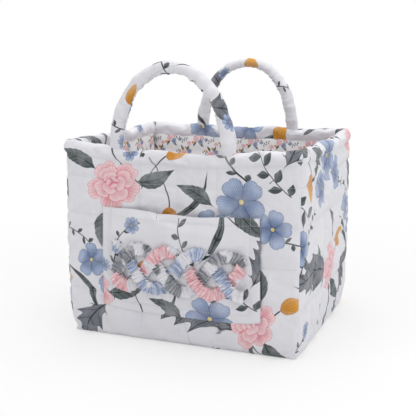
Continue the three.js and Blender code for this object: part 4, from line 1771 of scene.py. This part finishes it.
def seen_directly(pen):
    """1 for what the camera sees, itself or in a shiny surface, and 0 for what only lights."""
    rays = pen.add("ShaderNodeLightPath", out="Is Camera Ray")
    return Num(pen, rays).then("MAXIMUM", rays.node.outputs["Is Glossy Ray"])


def make_camera(context):
    """The camera, where the photo was taken from."""
    turn = math.radians(CAMERA_AZIMUTH)
    lift = math.radians(CAMERA_ELEVATION)
    back = Vector((math.sin(turn) * math.cos(lift), -math.cos(turn) * math.cos(lift), math.sin(lift)))
    bpy.ops.object.camera_add(location=Vector(CAMERA_TARGET) + back * CAMERA_DISTANCE)
    camera = context.object
    camera.name = "Camera"
    camera.rotation_euler = (-back).to_track_quat("-Z", "Y").to_euler()
    camera.data.lens = CAMERA_LENS
    context.scene.camera = camera


def make_lamps(context):
    """The soft studio lamps."""
    for name, place, width, power in LAMPS:
        bpy.ops.object.light_add(type="AREA", location=place)
        lamp = context.object
        lamp.name = name
        lamp.data.size = width
        lamp.data.energy = power
        aim = Vector(LAMP_TARGET) - Vector(place)
        lamp.rotation_euler = aim.to_track_quat("-Z", "Y").to_euler()


def make_floor(context):
    """The pale floor, which fades to plain white away from the basket."""
    bpy.ops.object.select_all(action="DESELECT")
    bpy.ops.mesh.primitive_circle_add(vertices=96, radius=STUDIO_RADIUS, fill_type="NGON")
    floor = context.object
    floor.name = "Floor"
    pen = new_material("Studio floor")
    place = pen.add("ShaderNodeTexCoord", out="Object")
    tint = pen.mix(pen.noise(place, 9.0), context.scene.basket_colours.floor, STUDIO_SHADE)
    dull = pen.add("ShaderNodeBsdfDiffuse", {"Color": tint})
    bright = pen.add("ShaderNodeEmission", {"Color": (1, 1, 1), "Strength": 1.0})
    away = Num(pen, pen.vector("LENGTH", place, out=1))
    glow = away.times_plus(*STUDIO_FADE).clamped()
    pen.finish(pen.add("ShaderNodeMixShader", [seen_directly(pen) * glow, dull, bright]))
    cover(floor, "Studio floor")


def make_world(context):
    """White surroundings, at half strength where they only light the basket."""
    world = bpy.data.worlds.new("Studio")
    world.use_nodes = True
    world.node_tree.nodes.clear()
    pen = Pen(world.node_tree)
    strength = seen_directly(pen).times_plus(0.5, 0.5)
    sky = pen.add("ShaderNodeBackground", {"Color": (1, 1, 1), "Strength": strength})
    pen.finish(sky, "ShaderNodeOutputWorld")
    context.scene.world = world


class BASKET_OT_stage(bpy.types.Operator):
    """Make the pale floor, the soft studio light and the camera"""

    bl_idname = "basket.stage"
    bl_label = "Stage"

    def execute(self, context):
        context.scene.view_settings.view_transform = "Standard"
        make_floor(context)
        make_world(context)
        make_lamps(context)
        make_camera(context)
        return {"FINISHED"}


# The sidebar and the order of work


class BASKET_PT_sidebar(bpy.types.Panel):
    """Sizes, sewing, colours and the steps that build the basket"""

    bl_label = "Quilted Basket"
    bl_idname = "BASKET_PT_sidebar"
    bl_space_type = "VIEW_3D"
    bl_region_type = "UI"
    bl_category = "Basket"

    def draw(self, context):
        layout = self.layout
        for step in STEPS:
            layout.operator(step.bl_idname)
        for settings in ("basket_sizes", "basket_sewing", "basket_colours"):
            group = getattr(context.scene, settings)
            box = layout.box()
            for name in group.__annotations__:
                box.prop(group, name)


SETTINGS = (BasketSizes, BasketSewing, BasketColours)
STEPS = (
    BASKET_OT_stage,
    BASKET_OT_walls,
    BASKET_OT_lining,
    BASKET_OT_base,
    BASKET_OT_pocket,
    BASKET_OT_ruching,
    BASKET_OT_handles,
    BASKET_OT_stitching,
)
CLASSES = (*SETTINGS, *STEPS, BASKET_PT_sidebar)


def register():
    for kind in CLASSES:
        bpy.utils.register_class(kind)
    bpy.types.Scene.basket_sizes = PointerProperty(type=BasketSizes)
    bpy.types.Scene.basket_sewing = PointerProperty(type=BasketSewing)
    bpy.types.Scene.basket_colours = PointerProperty(type=BasketColours)


def unregister():
    del bpy.types.Scene.basket_colours
    del bpy.types.Scene.basket_sewing
    del bpy.types.Scene.basket_sizes
    for kind in reversed(CLASSES):
        bpy.utils.unregister_class(kind)


def main():
    register()
    make_groups(bpy.context)
    make_materials(bpy.context)
    bpy.ops.basket.stage()
    bpy.ops.basket.walls()
    bpy.ops.basket.lining()
    bpy.ops.basket.base()
    bpy.ops.basket.pocket()
    bpy.ops.basket.ruching()
    bpy.ops.basket.handles()
    bpy.ops.basket.stitching()


if __name__ == "__main__":
    main()
